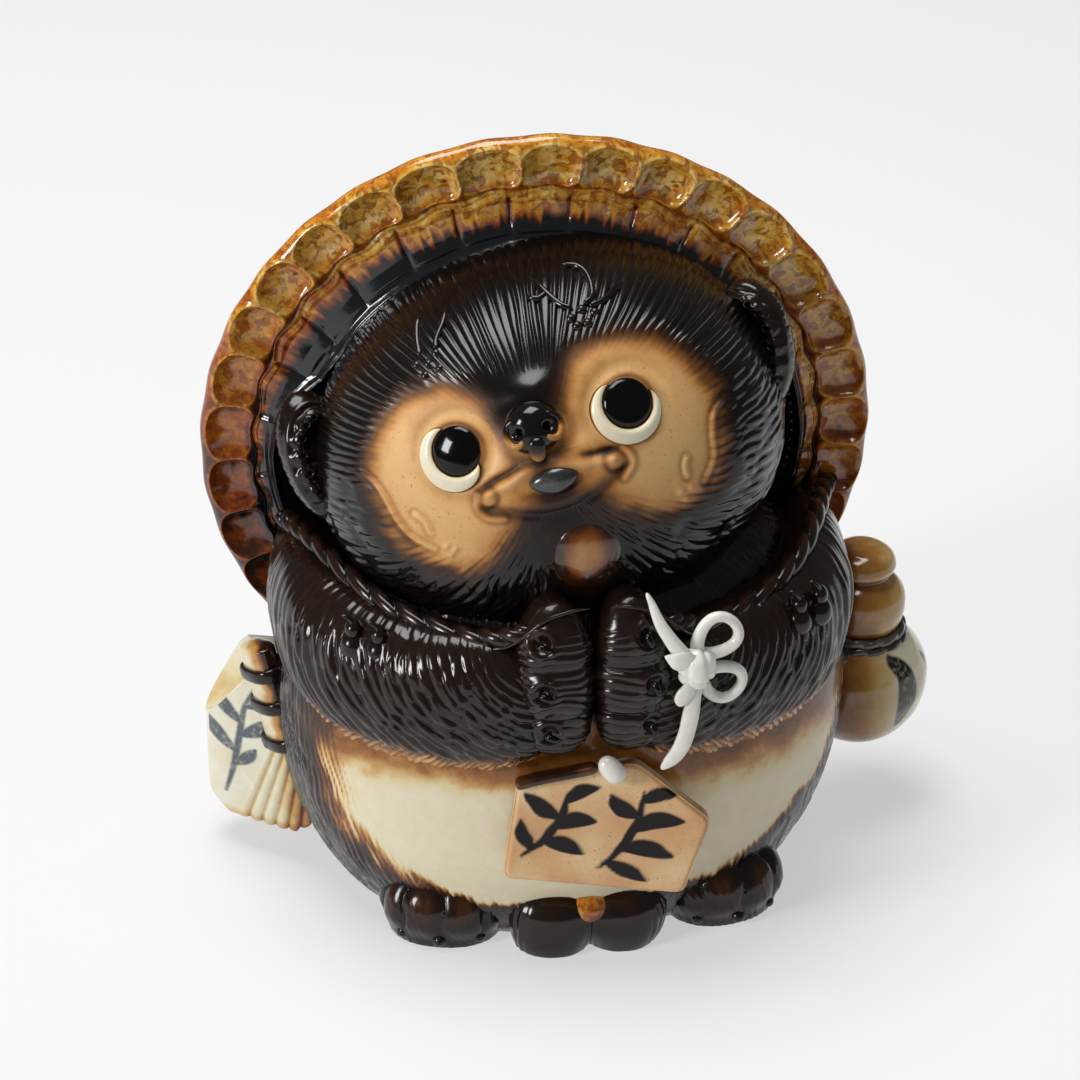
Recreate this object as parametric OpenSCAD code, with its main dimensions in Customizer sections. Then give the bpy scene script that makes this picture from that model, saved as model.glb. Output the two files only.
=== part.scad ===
// Seated raccoon-dog ornament in glazed stoneware: a hollow body and head luted together,
// a round hat behind the head, clasped paws, a votive tablet on a bow, a flask and an account book.
// Millimetres. +Z is up, the face looks to -Y, and the origin is on the flat foot under the body's axis.

/* [Body] */
// Width of the body across the arms
body_w = 187; // [184:1:190]
// Height of the body's widest level above the foot
body_mid_z = 70; // [69:1:72]
// Thickness of the cast wall
wall = 7.5; // [6.5:0.5:8.5]
// Radius of the vent hole in the foot
vent_r = 12; // [9:1:15]

/* [Head] */
// Width of the head without the ears
head_w = 150; // [148:1:154]
// How far the face looks up
head_pitch = 20; // [18:1:22]
// Sideways tilt of the head
head_roll = 17; // [15:1:19]
// Diameter of the eyes with their white rings
eye_d = 21.4; // [20:0.2:23]

/* [Hat] */
// Outer diameter of the hat
hat_d = 219; // [214:1:222]
// Number of thumb presses round the rim
press_count = 33; // [31:1:35]
// How deep each thumb press goes
press_depth = 2.2; // [1.4:0.2:2.6]

/* [Flask and tablet] */
// Radius of the flask's lower bulb
bulb_r = 24; // [22:0.5:26]
// Thickness of the tablet
tablet_t = 5; // [4:0.5:6]

/* [Hidden] */

body_c = [-2, -12, body_mid_z];
body_r = [body_w / 2, body_w / 2, 69, 80, 98, 74];
body_e = [0.94, 0.9];
head_c = [-6.2, -15, 160];
head_r = [head_w / 2, head_w / 2, 62, 66, 62, 62];
head_e = [0.96, 0.96];
head_yaw = 8;
hat_c = [-6.3, 14, 145.7];
hat_yaw = 2.5;
hat_lean = 4;
hat_r = hat_d / 2;
foot_t = 6;
mask_t = 3.5;
panel_t = 4;

dark = "#2e211a";
amber = "#a2671f";
tan_clay = "#c48f56";
cream = "#e2d5b4";
white_clay = "#e9e5da";
black_glaze = "#0e0c0b";
grey_glaze = "#3b3a38";
red_brown = "#5c2f16";

// Evaluates its children as one closed mesh.
module fused() {
    resize([0, 0, 0]) union() children();
}

// Points of an egg: v runs from the bottom pole to the top one, u round the vertical.
function spow(v, p) = sign(v) * pow(abs(v), p);
function egg_point(r, e, u, v) =
    let (c = pow(cos(v), e[1]))
    let (x = c * spow(cos(u), e[0]), y = c * spow(sin(u), e[0]), z = spow(sin(v), e[1]))
    [x * (x < 0 ? r[0] : r[1]), y * (y < 0 ? r[2] : r[3]), z * (z < 0 ? r[4] : r[5])];

// Closed skin over rings of points, with a point at either end.
module skin(rings, low, high) {
    n = len(rings[0]);
    m = len(rings);
    points = concat([low], [for (r = rings) each r], [high]);
    last = n * m + 1;
    faces = concat(
        [for (i = [0:n - 1]) [0, 1 + i, 1 + (i + 1) % n]],
        [for (j = [0:m - 2], i = [0:n - 1])
            let (a = 1 + j * n + i, b = 1 + j * n + (i + 1) % n) each [[a, a + n, b], [b, a + n, b + n]]],
        [for (i = [0:n - 1]) [last, 1 + (m - 1) * n + (i + 1) % n, 1 + (m - 1) * n + i]]);
    polyhedron(points, faces, convexity = 4);
}

// Egg with its own radius towards -x, +x, -y, +y, -z and +z.
module egg(r, e = [1, 1], n = 16, m = 8) {
    skin([for (j = [1:m - 1]) [for (i = [0:n - 1]) egg_point(r, e, 360 * i / n, -90 + 180 * j / m)]],
        [0, 0, -r[4]], [0, 0, r[5]]);
}

// Tube along a path with its own half-width and half-height at each point, closed to a tip at both ends.
module tube(path, wide, high, n = 16, across = [0, 0, 1]) {
    m = len(path);
    skin([for (k = [1:m - 2])
            let (t = path[k + 1] - path[k - 1], s = cross(across, t) / norm(cross(across, t)),
                up = cross(t, s) / norm(t))
            [for (i = [0:n - 1])
                path[k] + s * (wide[k] * cos(360 * i / n)) + up * (high[k] * sin(360 * i / n))]],
        path[0], path[m - 1]);
}

// Closed ring swept round a loop of points with a round section.
module ring(loop, r, n = 8) {
    m = len(loop);
    centre = [for (k = [0:2]) [for (p = loop) 1] * [for (p = loop) p[k]] / m];
    points = [for (k = [0:m - 1])
        let (t = loop[(k + 1) % m] - loop[(k + m - 1) % m], out = loop[k] - centre,
            up = cross(out, t) / norm(cross(out, t)), s = cross(t, up) / norm(t))
        for (i = [0:n - 1]) loop[k] + s * (r * cos(360 * i / n)) + up * (r * sin(360 * i / n))];
    faces = [for (k = [0:m - 1], i = [0:n - 1])
        let (a = k * n + i, b = k * n + (i + 1) % n)
        let (c = ((k + 1) % m) * n + i, d = ((k + 1) % m) * n + (i + 1) % n)
        each [[a, b, c], [b, d, c]]];
    polyhedron(points, faces, convexity = 6);
}

function flip(path, s) = [for (p = path) [s * p[0], p[1], p[2]]];
function grown(r, g) = [for (v = r) v + g];

// Shared forms

module torso_form(grow = 0, n = 36, m = 18) {
    translate(body_c) egg(grown(body_r, grow), body_e, n, m);
}

module in_head() {
    translate(head_c)
        rotate([0, 0, -head_yaw]) rotate([-head_pitch, 0, 0]) rotate([0, -head_roll, 0]) children();
}

module head_form(grow = 0, n = 36, m = 18) {
    in_head() egg(grown(head_r, grow), head_e, n, m);
}

module mask_floor() {
    head_form(-mask_t, 24, 12);
}

module panel_floor() {
    torso_form(-panel_t, 24, 12);
}

module in_hat() {
    translate(hat_c) rotate([0, 0, -hat_yaw]) rotate([hat_lean, 0, 0]) children();
}

// The body's section at the ground.
function foot_outline() =
    [for (i = [0:47])
        let (low = -asin(pow(body_mid_z / body_r[4], 1 / body_e[1])))
        let (p = egg_point(body_r, body_e, 7.5 * i, low)) [p[0], p[1]]];

module floor_cut(z = 0) {
    translate([-150, -150, z - 100]) cube([300, 300, 100]);
}

module belly_zone() {
    half = [[0, 23], [25, 22], [40, 21.5], [54, 25], [73, 38], [84, 55], [87, 72], [80, 92]];
    outline = concat(half, [for (i = [7:-1:1]) [-half[i][0], half[i][1]]]);
    translate([0, -20, 0]) rotate([90, 0, 0]) linear_extrude(100)
        offset(6, $fn = 16) offset(-6) polygon(outline);
}

module mask_zone() {
    half = [[0, 17], [7, 21], [16, 29], [29, 33], [43, 31], [54, 22], [60, 7], [60, -7], [53, -20], [41, -29],
        [28, -29], [16, -21], [8, -15], [0, -13]];
    outline = concat(half, [for (i = [12:-1:1]) [-half[i][0], half[i][1]]]);
    in_head() translate([0, -12, 0]) rotate([90, 0, 0]) linear_extrude(80) polygon(outline);
}

module mask_solid() {
    difference() {
        intersection() {
            head_form(0.6);
            mask_zone();
        }
        mask_floor();
    }
}

// Hollow body

module torso_shell() {
    color(dark) fused() difference() {
        torso_form();
        torso_form(-wall, 20, 10);
        floor_cut(foot_t);
        difference() {
            belly_zone();
            panel_floor();
        }
        translate([0, 0, 100]) cylinder(r = 34, h = 80, $fn = 32);
    }
}

module belly_panel() {
    color(cream) fused() difference() {
        intersection() {
            torso_form();
            belly_zone();
        }
        panel_floor();
    }
}

module base_slab() {
    color(tan_clay) difference() {
        translate([body_c[0], body_c[1], 0]) linear_extrude(foot_t) polygon(foot_outline());
        translate([0, 22, -1]) cylinder(r = vent_r, h = foot_t + 2, $fn = 48);
    }
}

// Hollow head

module head_shell() {
    color(dark) fused() difference() {
        head_form();
        head_form(-wall, 20, 10);
        torso_form();
        arm_form(1);
        arm_form(-1);
        mask_solid();
        paw_form(1);
        paw_form(-1);
    }
}

module face_mask() {
    color(tan_clay) fused() difference() {
        mask_solid();
        eye_ball(1);
        eye_ball(-1);
        nose_form();
        lips_form();
        chin_form();
    }
}

module ear(s) {
    color(dark) fused() difference() {
        in_head() translate([s * 70, -8, 11 - 2 * s]) rotate([0, s * 8, s * -28]) difference() {
            egg([13, 13, 7, 12, 21, 21], [1, 1], 20, 10);
            translate([s * 2, -7, 0]) egg([8, 8, 4, 4, 14, 14], [1, 1], 16, 8);
        }
        head_form();
        hat_solid();
    }
}

module left_ear() { ear(1); }
module right_ear() { ear(-1); }

module at_eye(s) {
    in_head() translate([0.9 + s * 27.3, -57.2, 9.4]) rotate([4, 0, s * 10]) children();
}

module eye_ball(s) {
    at_eye(s) egg([eye_d / 2, eye_d / 2, 5.4, 6, eye_d / 2, eye_d / 2], [1, 1], 16, 6);
}

module pupil_form(s) {
    at_eye(s) translate([0, -1.2, 0]) egg([7.9, 7.9, 5.4, 4, 7.9, 7.9], [1, 1], 14, 6);
}

module eye_ring(s) {
    color(cream) fused() difference() {
        eye_ball(s);
        pupil_form(s);
        mask_floor();
    }
}

module left_eye_ring() { eye_ring(1); }
module right_eye_ring() { eye_ring(-1); }
module left_pupil() { color(black_glaze) fused() difference() { pupil_form(1); mask_floor(); } }
module right_pupil() { color(black_glaze) fused() difference() { pupil_form(-1); mask_floor(); } }

module nose_form() {
    in_head() translate([0, -61, 10.5]) rotate([12, 0, 0]) egg([8.6, 8.6, 9, 8, 8, 8.5], [0.9, 0.9], 16, 8);
}

module nose() {
    color(dark) fused() difference() {
        nose_form();
        mask_floor();
    }
}

module lips_form() {
    in_head() translate([0, -60, -6]) egg([21, 21, 7, 6, 7, 5.5], [1, 1], 20, 8);
}

module mouth_form() {
    in_head() translate([0, -65.2, -5.6]) egg([7.2, 7.2, 3.4, 4.6, 4.4, 4.2], [1, 1], 14, 6);
}

module lips() {
    color(tan_clay) fused() difference() {
        lips_form();
        mouth_form();
        nose_form();
        mask_floor();
    }
}

module mouth() {
    color(black_glaze) fused() difference() {
        mouth_form();
        nose_form();
        mask_floor();
    }
}

module chin_form() {
    in_head() translate([1.5, -51.5, -31.2]) rotate([29, 0, 0]) egg([8.8, 8.8, 8, 8, 11, 10], [1, 1], 16, 8);
}

module chin_knob() {
    color(amber) fused() difference() {
        chin_form();
        head_form();
        lips_form();
        paw_form(1);
        paw_form(-1);
    }
}

module berry(p, r) {
    translate(p) egg([r, r, r, r, r, r], [1, 1], 8, 4);
}

// Point on the head's front at a given place across and up its own axes.
function on_head(x, z) = [x, -head_r[2] * sqrt(1 - pow(x / head_r[1], 2) - pow(z / head_r[5], 2)), z];

module brow_sprigs() {
    berries = [[22, 35.5], [25.5, 37], [20.5, 39], [28, 38.5], [24, 40.5]];
    twig = [for (q = [[22, 40], [21.5, 42.5], [20, 46], [18, 50], [17, 52]]) on_head(q[0], q[1])];
    thick = [0, 1.6, 1.4, 1.2, 0];
    color(dark) for (s = [-1, 1])
        fused() difference() {
            in_head() {
                for (b = berries) berry(on_head(s * b[0], b[1]), 2.1);
                tube(flip(twig, s), thick, thick, 6);
            }
            head_form();
        }
}

// Hat

module hat_solid() {
    in_hat() rotate([-90, 0, 0]) rotate_extrude($fn = 54)
        polygon([[0, -8], [75, -8], [83, -4.5], [hat_r - 3, -1.5], [hat_r, 2], [hat_r - 1, 5],
            [74, 24], [38, 44], [0, 52]]);
}

module hat_crown() {
    profile = [[94, 1], [hat_r - 4, 5.5], [74, 24], [50, 37.5], [36, 45], [18, 50.5], [0, 52], [0, 45],
        [35, 38], [70, 19], [88, 8.5], [50, 15], [50, 9.5], [72, 5]];
    color(amber) fused() difference() {
        in_hat() rotate([-90, 0, 0]) rotate_extrude($fn = 54) polygon(profile);
        head_form();
        torso_form();
        arm_form(1);
        arm_form(-1);
        tail_form();
    }
}

// Front height of the pressed rim: a shallow bowl for each thumb.
function press(u) = press_depth * pow(abs(sin(u * press_count / 2)), 0.8);

module hat_rim() {
    steps = press_count * 4;
    ring_at = [for (k = [0:steps - 1])
        let (u = 360 * k / steps, h = press(u), ro = hat_r - 1.3 + h * 0.6)
        [[94, 1], [94, -5], [97, -6.5], [102, -5.6 + (press_depth - h) * 1.2], [ro - 2, -5.5],
            [ro, -1.5], [ro - 3.5, 5.5]]];
    m = 7;
    points = [for (k = [0:steps - 1]) for (q = ring_at[k])
        [q[0] * cos(360 * k / steps), q[1], q[0] * sin(360 * k / steps)]];
    faces = [for (k = [0:steps - 1], i = [0:m - 1])
        let (a = k * m + i, b = k * m + (i + 1) % m)
        let (c = ((k + 1) % steps) * m + i, d = ((k + 1) % steps) * m + (i + 1) % m)
        each [[a, c, b], [b, c, d]]];
    color(amber) fused() difference() {
        in_hat() polyhedron(points, faces, convexity = 8);
        torso_form();
        arm_form(1);
        arm_form(-1);
    }
}

module hat_band() {
    color(red_brown) fused() difference() {
        in_hat() rotate([-90, 0, 0]) rotate_extrude($fn = 54)
            polygon([[72, 5], [72, -6], [75.5, -8.5], [84, -4.5], [89.5, -4.5], [94, -3], [94, 1]]);
        head_form();
        torso_form();
        arm_form(1);
        arm_form(-1);
    }
}

module chin_cord() {
    path = [[90, 6, 124], [86, -4, 125], [80, -22, 127], [71, -42, 125.5], [58, -58, 122.5], [42, -70, 121.5],
        [30, -78, 124], [24, -82, 128]];
    thick = [0, 3, 3.4, 3.4, 3.4, 3.4, 3, 0];
    color(dark) for (s = [-1, 1])
        fused() difference() {
            tube(flip(path, s), thick, thick, 10);
            head_form();
            torso_form();
            arm_form(s);
            paw_form(s);
            hat_solid();
        }
}

// Arms, paws and feet

module arm_form(s) {
    path = [[82, 28, 104], [83, 12, 102.5], [82.5, -8, 101.5], [77, -30, 99.5], [66, -49, 98], [51, -63, 98],
        [35, -72, 99], [20, -77, 101], [11, -76, 103]];
    wide = [0, 8, 12, 15, 16, 15.5, 14, 11, 0];
    high = [0, 18, 23, 25, 25, 24.5, 24, 20, 0];
    translate([body_c[0], 0, 0]) tube(flip(path, s), wide, high, 20);
}

module arm(s) {
    color(dark) fused() difference() {
        arm_form(s);
        torso_form();
        paw_form(1);
        paw_form(-1);
    }
}

module left_arm() { arm(1); }
module right_arm() { arm(-1); }

module paw_form(s) {
    fused() translate([s > 0 ? 9.6 : -12.8, 0, 0]) {
        for (f = [[127, -79, 10], [110, -81, 11.2], [93, -81, 10.8]])
            translate([0, f[1], f[0]]) egg([10.9, 10.9, f[2], 12, 10.4, 10.4], [0.85, 0.9], 16, 8);
        translate([0, -80, 110]) egg([10.6, 10.6, 11.4, 12, 25, 25], [0.9, 0.8], 16, 8);
    }
}

module paw(s) {
    color(dark) fused() difference() {
        paw_form(s);
        torso_form();
        if (s < 0) paw_form(1);
    }
}

module left_paw() { paw(1); }
module right_paw() { paw(-1); }

module paw_claws() {
    color(black_glaze) for (s = [-1, 1])
        fused() difference() {
            for (f = [[125, -89], [108, -92.6], [92, -92]])
                translate([s > 0 ? 14.2 : -19.3 + (125 - f[0]) * 0.06, f[1], f[0]])
                    egg([2.4, 2.4, 3.2, 4, 2.4, 2.4], [1, 1], 8, 5);
            paw_form(s);
        }
}

module foot_form(s) {
    translate([s * 44.8, -49, 0]) rotate([0, 0, s * 14]) {
        translate([0, 0, 9.4]) egg([21, 21, 19.6, 26, 22, 15.4], [0.9, 0.9], 16, 8);
        for (t = [-1, 0, 1])
            translate([t * 12.4, -13 + abs(t) * 4, 8.6]) egg([6.8, 6.8, 9, 14, 14, 8.6], [1, 1], 12, 6);
    }
}

module foot(s) {
    color(dark) fused() difference() {
        foot_form(s);
        torso_form();
        floor_cut();
        pouch_form();
    }
}

module left_foot() { foot(1); }
module right_foot() { foot(-1); }

module foot_claws() {
    color(black_glaze) for (s = [-1, 1])
        fused() difference() {
            translate([s * 44.8, -49, 0]) rotate([0, 0, s * 14])
                for (t = [-1, 0, 1]) translate([t * 12.4, -21.6 + abs(t) * 4, 5.2])
                    egg([2.4, 2.4, 4, 5, 2.6, 2.8], [1, 1], 8, 4);
            foot_form(s);
            floor_cut();
        }
}

module pouch_form() {
    for (x = [-12.2, 10.8])
        translate([x, -64, 11]) egg([13, 13, 15.5, 22, 20, 12], [0.95, 0.95], 18, 10);
}

module pouch() {
    color(dark) fused() difference() {
        union() pouch_form();
        torso_form();
        floor_cut();
    }
}

module pouch_boss() {
    color(amber) fused() difference() {
        translate([-0.7, -71.5, 15]) egg([6.6, 6.6, 6, 6, 6.6, 6], [1, 1], 14, 8);
        pouch_form();
        torso_form();
    }
}

module tail_form() {
    tube([[0, 66, 4], [0, 68, 12], [-2, 75, 26], [-6, 78, 46], [-12, 76, 66], [-18, 71, 84], [-22, 66, 98],
            [-24, 62, 104]],
        [0, 18, 25, 27, 25, 19, 11, 0], [0, 10, 14, 15, 14, 12, 8, 0], 20, [0, 1, 0.2]);
}

module tail() {
    color(dark) fused() difference() {
        tail_form();
        torso_form();
        floor_cut();
    }
}

// Flask on the viewer's right

flask_c = [103.5, 8, 47];

module flask_bulb_form() {
    translate(flask_c) egg([bulb_r, bulb_r, bulb_r, bulb_r, bulb_r, bulb_r - 2], [1, 1], 24, 12);
}

module flask_bulb() {
    color(cream) fused() difference() {
        flask_bulb_form();
        torso_form();
        arm_form(1);
    }
}

module flask_neck_form() {
    translate(flask_c) {
        translate([0, 0, 29]) egg([16.2, 16.2, 16.2, 16.2, 13, 13], [1, 1], 20, 8);
        translate([-1, 0, 42]) egg([11.8, 11.8, 11.8, 11.8, 8, 8], [0.8, 0.8], 16, 6);
    }
}

module flask_neck() {
    color(cream) fused() difference() {
        flask_neck_form();
        flask_bulb_form();
        torso_form();
        arm_form(1);
    }
}

module flask_cord() {
    color(grey_glaze) fused() difference() {
        union() {
            ring([for (i = [0:17]) flask_c + [15.2 * cos(20 * i), 15.2 * sin(20 * i), 18.4]], 2.2, 6);
            berry(flask_c + [-9, -14.5, 14], 3);
        }
        flask_bulb_form();
        flask_neck_form();
        torso_form();
        arm_form(1);
    }
}

// Account book on the viewer's left

module book_form() {
    intersection() {
        translate([0, 60, 0]) rotate([90, 0, 0]) linear_extrude(90) offset(2.5, $fn = 16) offset(-2.5)
            polygon([[-103, 77], [-106, 75], [-118.5, 50], [-117.5, 18], [-113, 13], [-91, 13], [-78, 20],
                [-72, 70], [-90, 74]]);
        translate([0, 0, 5]) linear_extrude(100) offset(3, $fn = 16) offset(-3)
            polygon([[-70, -14], [-84, -14], [-94, -12], [-115, 0], [-119, 10], [-114, 20], [-70, 24]]);
    }
}

module book_block() {
    color(cream) fused() difference() {
        book_form();
        torso_form();
        arm_form(-1);
        spine_form();
    }
}

spine_top = [-102, -6, 84];
spine_foot = [-93.5, -13.5, 50];

module spine_form() {
    hull() for (p = [spine_top, spine_foot], d = [[-4.5, 1.5, 0], [4.5, -1.5, 0]]) berry(p + d, 3.6);
}

module book_spine() {
    color(amber) fused() difference() {
        spine_form();
        arm_form(-1);
        torso_form();
    }
}

module book_ties() {
    color(black_glaze) fused() difference() {
        for (k = [0.22, 0.52, 0.95])
            let (p = spine_top * (1 - k) + spine_foot * k)
            hull() for (d = [[-6, 2, 0], [6, -2, 0]]) translate(p + d)
                egg([4, 4, 4.4, 4, 1.8, 1.8], [1, 1], 12, 6);
        spine_form();
        book_form();
        arm_form(-1);
        torso_form();
    }
}

// Votive tablet and its bow

module on_tablet() {
    translate([3, -84, 57]) rotate([-3, 0, -6]) rotate([90, 0, 0]) children();
}

tablet_outline = [[-33, -13], [23, -26], [32, 3.5], [4.5, 25], [-29.5, 20]];

eave_outline = [[-30, 17], [-4, 21], [-4.5, 25.5], [-31, 21.5]];

module tablet_form() {
    on_tablet() linear_extrude(tablet_t) offset(1, $fn = 12) offset(-1) polygon(tablet_outline);
}

module tablet() {
    color(tan_clay) fused() difference() {
        tablet_form();
        torso_form();
        paw_form(1);
        paw_form(-1);
        arm_form(1);
        arm_form(-1);
    }
}

module tablet_eave() {
    color(red_brown) fused() difference() {
        on_tablet() translate([0, 0, tablet_t]) linear_extrude(2) polygon(eave_outline);
        paw_form(1);
        paw_form(-1);
        arm_form(-1);
    }
}

module peg_form() {
    on_tablet() translate([0.5, 22.5, tablet_t + 1.6]) egg([3.6, 3.6, 5.5, 5.5, 3.2, 3.2], [0.8, 0.8], 12, 6);
}

module tablet_peg() {
    color(white_clay) fused() difference() {
        peg_form();
        tablet_form();
        on_tablet() translate([0, 0, tablet_t]) linear_extrude(2) polygon(eave_outline);
        paw_form(1);
        paw_form(-1);
        arm_form(1);
        arm_form(-1);
        bow_knot_form();
    }
}

module bow_knot_form() {
    translate([32.4, -88.5, 112.5]) egg([5, 5, 4.4, 4.4, 6.4, 6.4], [1, 1], 12, 6);
}

module bow_knot() {
    color(white_clay) fused() difference() {
        bow_knot_form();
        arm_form(1);
        paw_form(1);
    }
}

module bow() {
    r = 1.8;
    upper = [for (i = [0:15])
        [37.6 + 6.2 * cos(22.5 * i), -86 + 1.5 * sin(22.5 * i), 124.5 + 6.6 * sin(22.5 * i)]];
    lower = [for (i = [0:15]) [39 + 5.8 * cos(22.5 * i), -86.5 - sin(22.5 * i), 103 + 6 * sin(22.5 * i)]];
    color(white_clay) fused() difference() {
        union() {
            ring(upper, r, 6);
            ring(lower, r, 6);
            tube([[14.5, -86, 140], [15.5, -87, 138], [19, -89.5, 130], [25, -90.5, 120], [31, -90, 114],
                    [32, -90, 113]],
                [0, 1.6, 1.8, 2, 2.2, 0], [0, 1.6, 1.8, 2, 2.2, 0], 8);
            tube([[32, -90, 111], [31, -91, 108], [29, -92.5, 100], [27, -93, 92], [25, -92.5, 85],
                    [23.5, -91.5, 80], [23, -91, 78]],
                [0, 1.8, 1.8, 1.8, 1.8, 1.8, 0], [0, 1.8, 1.8, 1.8, 1.8, 1.8, 0], 8);
            tube([[32, -90, 113], [30, -91, 114.5], [25, -92, 117], [21, -92, 118.5], [20, -92, 119]],
                [0, 1.7, 1.7, 1.7, 0],
                [0, 1.7, 1.7, 1.7, 0], 8);
        }
        bow_knot_form();
        arm_form(1);
        paw_form(1);
        tablet_form();
    }
}

module shoulder_gourds() {
    color(dark) for (s = [-1, 1])
        fused() difference() {
            union() {
                for (q = [[74, -58.5, 113], [66.5, -63.5, 113]], p = flip([q], s)) {
                    translate(p) egg([4.6, 4.6, 5, 5, 5.4, 5.4], [1, 1], 8, 5);
                    translate(p + [0, 0, 7]) egg([3, 3, 4, 4, 3.4, 3.4], [1, 1], 8, 4);
                }
            }
            arm_form(s);
            head_form();
            torso_form();
        }
}

torso_shell();
belly_panel();
base_slab();
head_shell();
face_mask();
left_ear();
right_ear();
left_eye_ring();
right_eye_ring();
left_pupil();
right_pupil();
nose();
lips();
mouth();
chin_knob();
hat_crown();
hat_band();
hat_rim();
chin_cord();
left_arm();
right_arm();
left_paw();
right_paw();
paw_claws();
left_foot();
right_foot();
foot_claws();
pouch();
pouch_boss();
tail();
flask_bulb();
flask_neck();
flask_cord();
book_block();
book_spine();
book_ties();
tablet();
tablet_eave();
tablet_peg();
bow();
bow_knot();
brow_sprigs();
shoulder_gourds();
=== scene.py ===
"""Seated raccoon-dog ornament in glazed stoneware, sculpted over the CAD frame."""

import math

import bpy
import numpy as np
from mathutils import Matrix, Vector

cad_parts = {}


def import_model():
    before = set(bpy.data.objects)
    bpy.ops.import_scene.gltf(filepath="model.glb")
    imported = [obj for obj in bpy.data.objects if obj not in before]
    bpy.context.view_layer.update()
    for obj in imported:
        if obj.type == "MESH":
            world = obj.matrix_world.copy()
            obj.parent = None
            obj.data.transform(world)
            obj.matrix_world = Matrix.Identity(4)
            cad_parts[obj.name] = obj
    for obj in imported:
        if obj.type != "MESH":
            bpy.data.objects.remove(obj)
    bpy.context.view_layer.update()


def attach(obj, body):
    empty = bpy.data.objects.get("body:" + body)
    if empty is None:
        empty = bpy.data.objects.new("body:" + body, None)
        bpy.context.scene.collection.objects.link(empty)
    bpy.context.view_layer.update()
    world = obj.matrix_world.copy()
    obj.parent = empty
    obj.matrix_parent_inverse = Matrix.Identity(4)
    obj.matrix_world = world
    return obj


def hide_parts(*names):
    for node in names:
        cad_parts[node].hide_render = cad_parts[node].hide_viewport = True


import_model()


# Small maths on arrays. Lengths are in millimetres until a mesh is made.

MM = 0.001


def spow(v, p):
    return np.sign(v) * np.abs(v) ** p


def step(a, b, x):
    """Smooth rise from 0 at a to 1 at b."""
    t = np.clip((np.asarray(x, float) - a) / (b - a), 0, 1)
    return t * t * (3 - 2 * t)


def bell(x, width):
    return np.exp(-((x / width) ** 2))


def mix(a, b, t):
    return a + (b - a) * t


def rot(axis, degrees):
    return np.array(Matrix.Rotation(math.radians(degrees), 3, axis))


def unit(v):
    return v / np.maximum(np.linalg.norm(v, axis=-1, keepdims=True), 1e-9)


def hashed(*ints, seed=0):
    """Steady pseudo-random number from 0 to 1 for each set of whole numbers."""
    h = np.int64(seed * 7919 + 17)
    for k, i in enumerate(ints):
        h = (h ^ (np.asarray(i).astype(np.int64) * (374761393 + 668265262 * k))) & 0xFFFFFFFF
        h = ((h ^ (h >> 13)) * 1274126177) & 0xFFFFFFFF
        h = h ^ (h >> 16)
    return (h & 0xFFFF) / 65535.0


def cloud(p, size, seed=0):
    """Smooth noise from -1 to 1 over points, with lumps about one size across."""
    q = np.asarray(p, float) / size
    i = np.floor(q).astype(np.int64)
    f = q - i
    f = f * f * (3 - 2 * f)
    total = 0.0
    for corner in np.ndindex(*(2,) * q.shape[-1]):
        weight = 1.0
        cell = []
        for k, c in enumerate(corner):
            weight = weight * (f[..., k] if c else 1 - f[..., k])
            cell.append(i[..., k] + c)
        total = total + weight * hashed(*cell, seed=seed)
    return total * 2 - 1


def clouds(p, size, seed=0):
    total = 0.6 * cloud(p, size, seed) + 0.3 * cloud(p, size * 0.47, seed + 1)
    return total + 0.15 * cloud(p, size * 0.22, seed + 2)


def joined(*parts):
    """Coordinates stacked into points."""
    return np.stack(np.broadcast_arrays(*parts), axis=-1)


def circle(n):
    """n even angles round a row of points."""
    return (np.arange(n) * 2 * np.pi / n)[None, :]


def hand(side):
    """The figure's own left is +x."""
    return "left" if side > 0 else "right"


def comb(across, along, pitch=2.3, length=17.0, seed=0, flat=1.8):
    """Height from 0 to 1 of combed strokes of fur, cut into staggered locks; flat widens their backs."""
    across = across + 0.5 * pitch * cloud(joined(across / 3, along), 9, seed + 5)
    height = 0.0
    for layer in (0, 1):
        stray = 0.35 * cloud(joined(across, along * 0), 6 + 3 * layer, seed + layer)
        rows = along / length + 0.5 * layer + stray
        row = np.floor(rows)
        f = rows - row
        cells = across / pitch + 0.5 * layer + 3 * hashed(row, seed=seed + layer)
        k = np.floor(cells)
        g = 2 * (cells - k) - 1
        ridge = 1 - np.abs(g) ** flat
        tall = 0.45 + 0.55 * hashed(k, row, seed=seed + 9)
        lock = step(0, 0.25, f) * (1 - step(0.7, 1, f))
        height = np.maximum(height, ridge * tall * (0.35 + 0.65 * lock))
    return height


def grooves(across, along, count, seed=0, flat=3.0, wander=0.35):
    """Height from 0 to 1 of long even strokes: across counts them round, along runs down them."""
    shift = wander * cloud(joined(across * 0.55, along / 26), 1.0, seed)
    cells = across + shift
    k = np.mod(np.floor(cells), count)
    g = 2 * (cells - np.floor(cells)) - 1
    own = hashed(k, seed=seed + 1)
    ridge = 1 - np.abs(g) ** flat
    swell = 0.75 + 0.25 * np.sin(along / (9 + 8 * own) + 6.3 * own)
    return ridge * (0.55 + 0.45 * own) * swell


def to_line(x, z, points):
    """Distance to a polyline drawn across and up, and how far along it from 0 to 1."""
    points = np.array(points, float)
    cuts = points[1:] - points[:-1]
    lengths = np.hypot(cuts[:, 0], cuts[:, 1])
    best = np.full(np.shape(x), 1e9)
    where = np.zeros(np.shape(x))
    run = 0.0
    for p, c, size in zip(points[:-1], cuts, lengths):
        t = np.clip(((x - p[0]) * c[0] + (z - p[1]) * c[1]) / size**2, 0, 1)
        d = np.hypot(x - p[0] - t * c[0], z - p[1] - t * c[1])
        closer = d < best
        best = np.where(closer, d, best)
        where = np.where(closer, run + t * size, where)
        run += size
    return best, where / run


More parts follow.
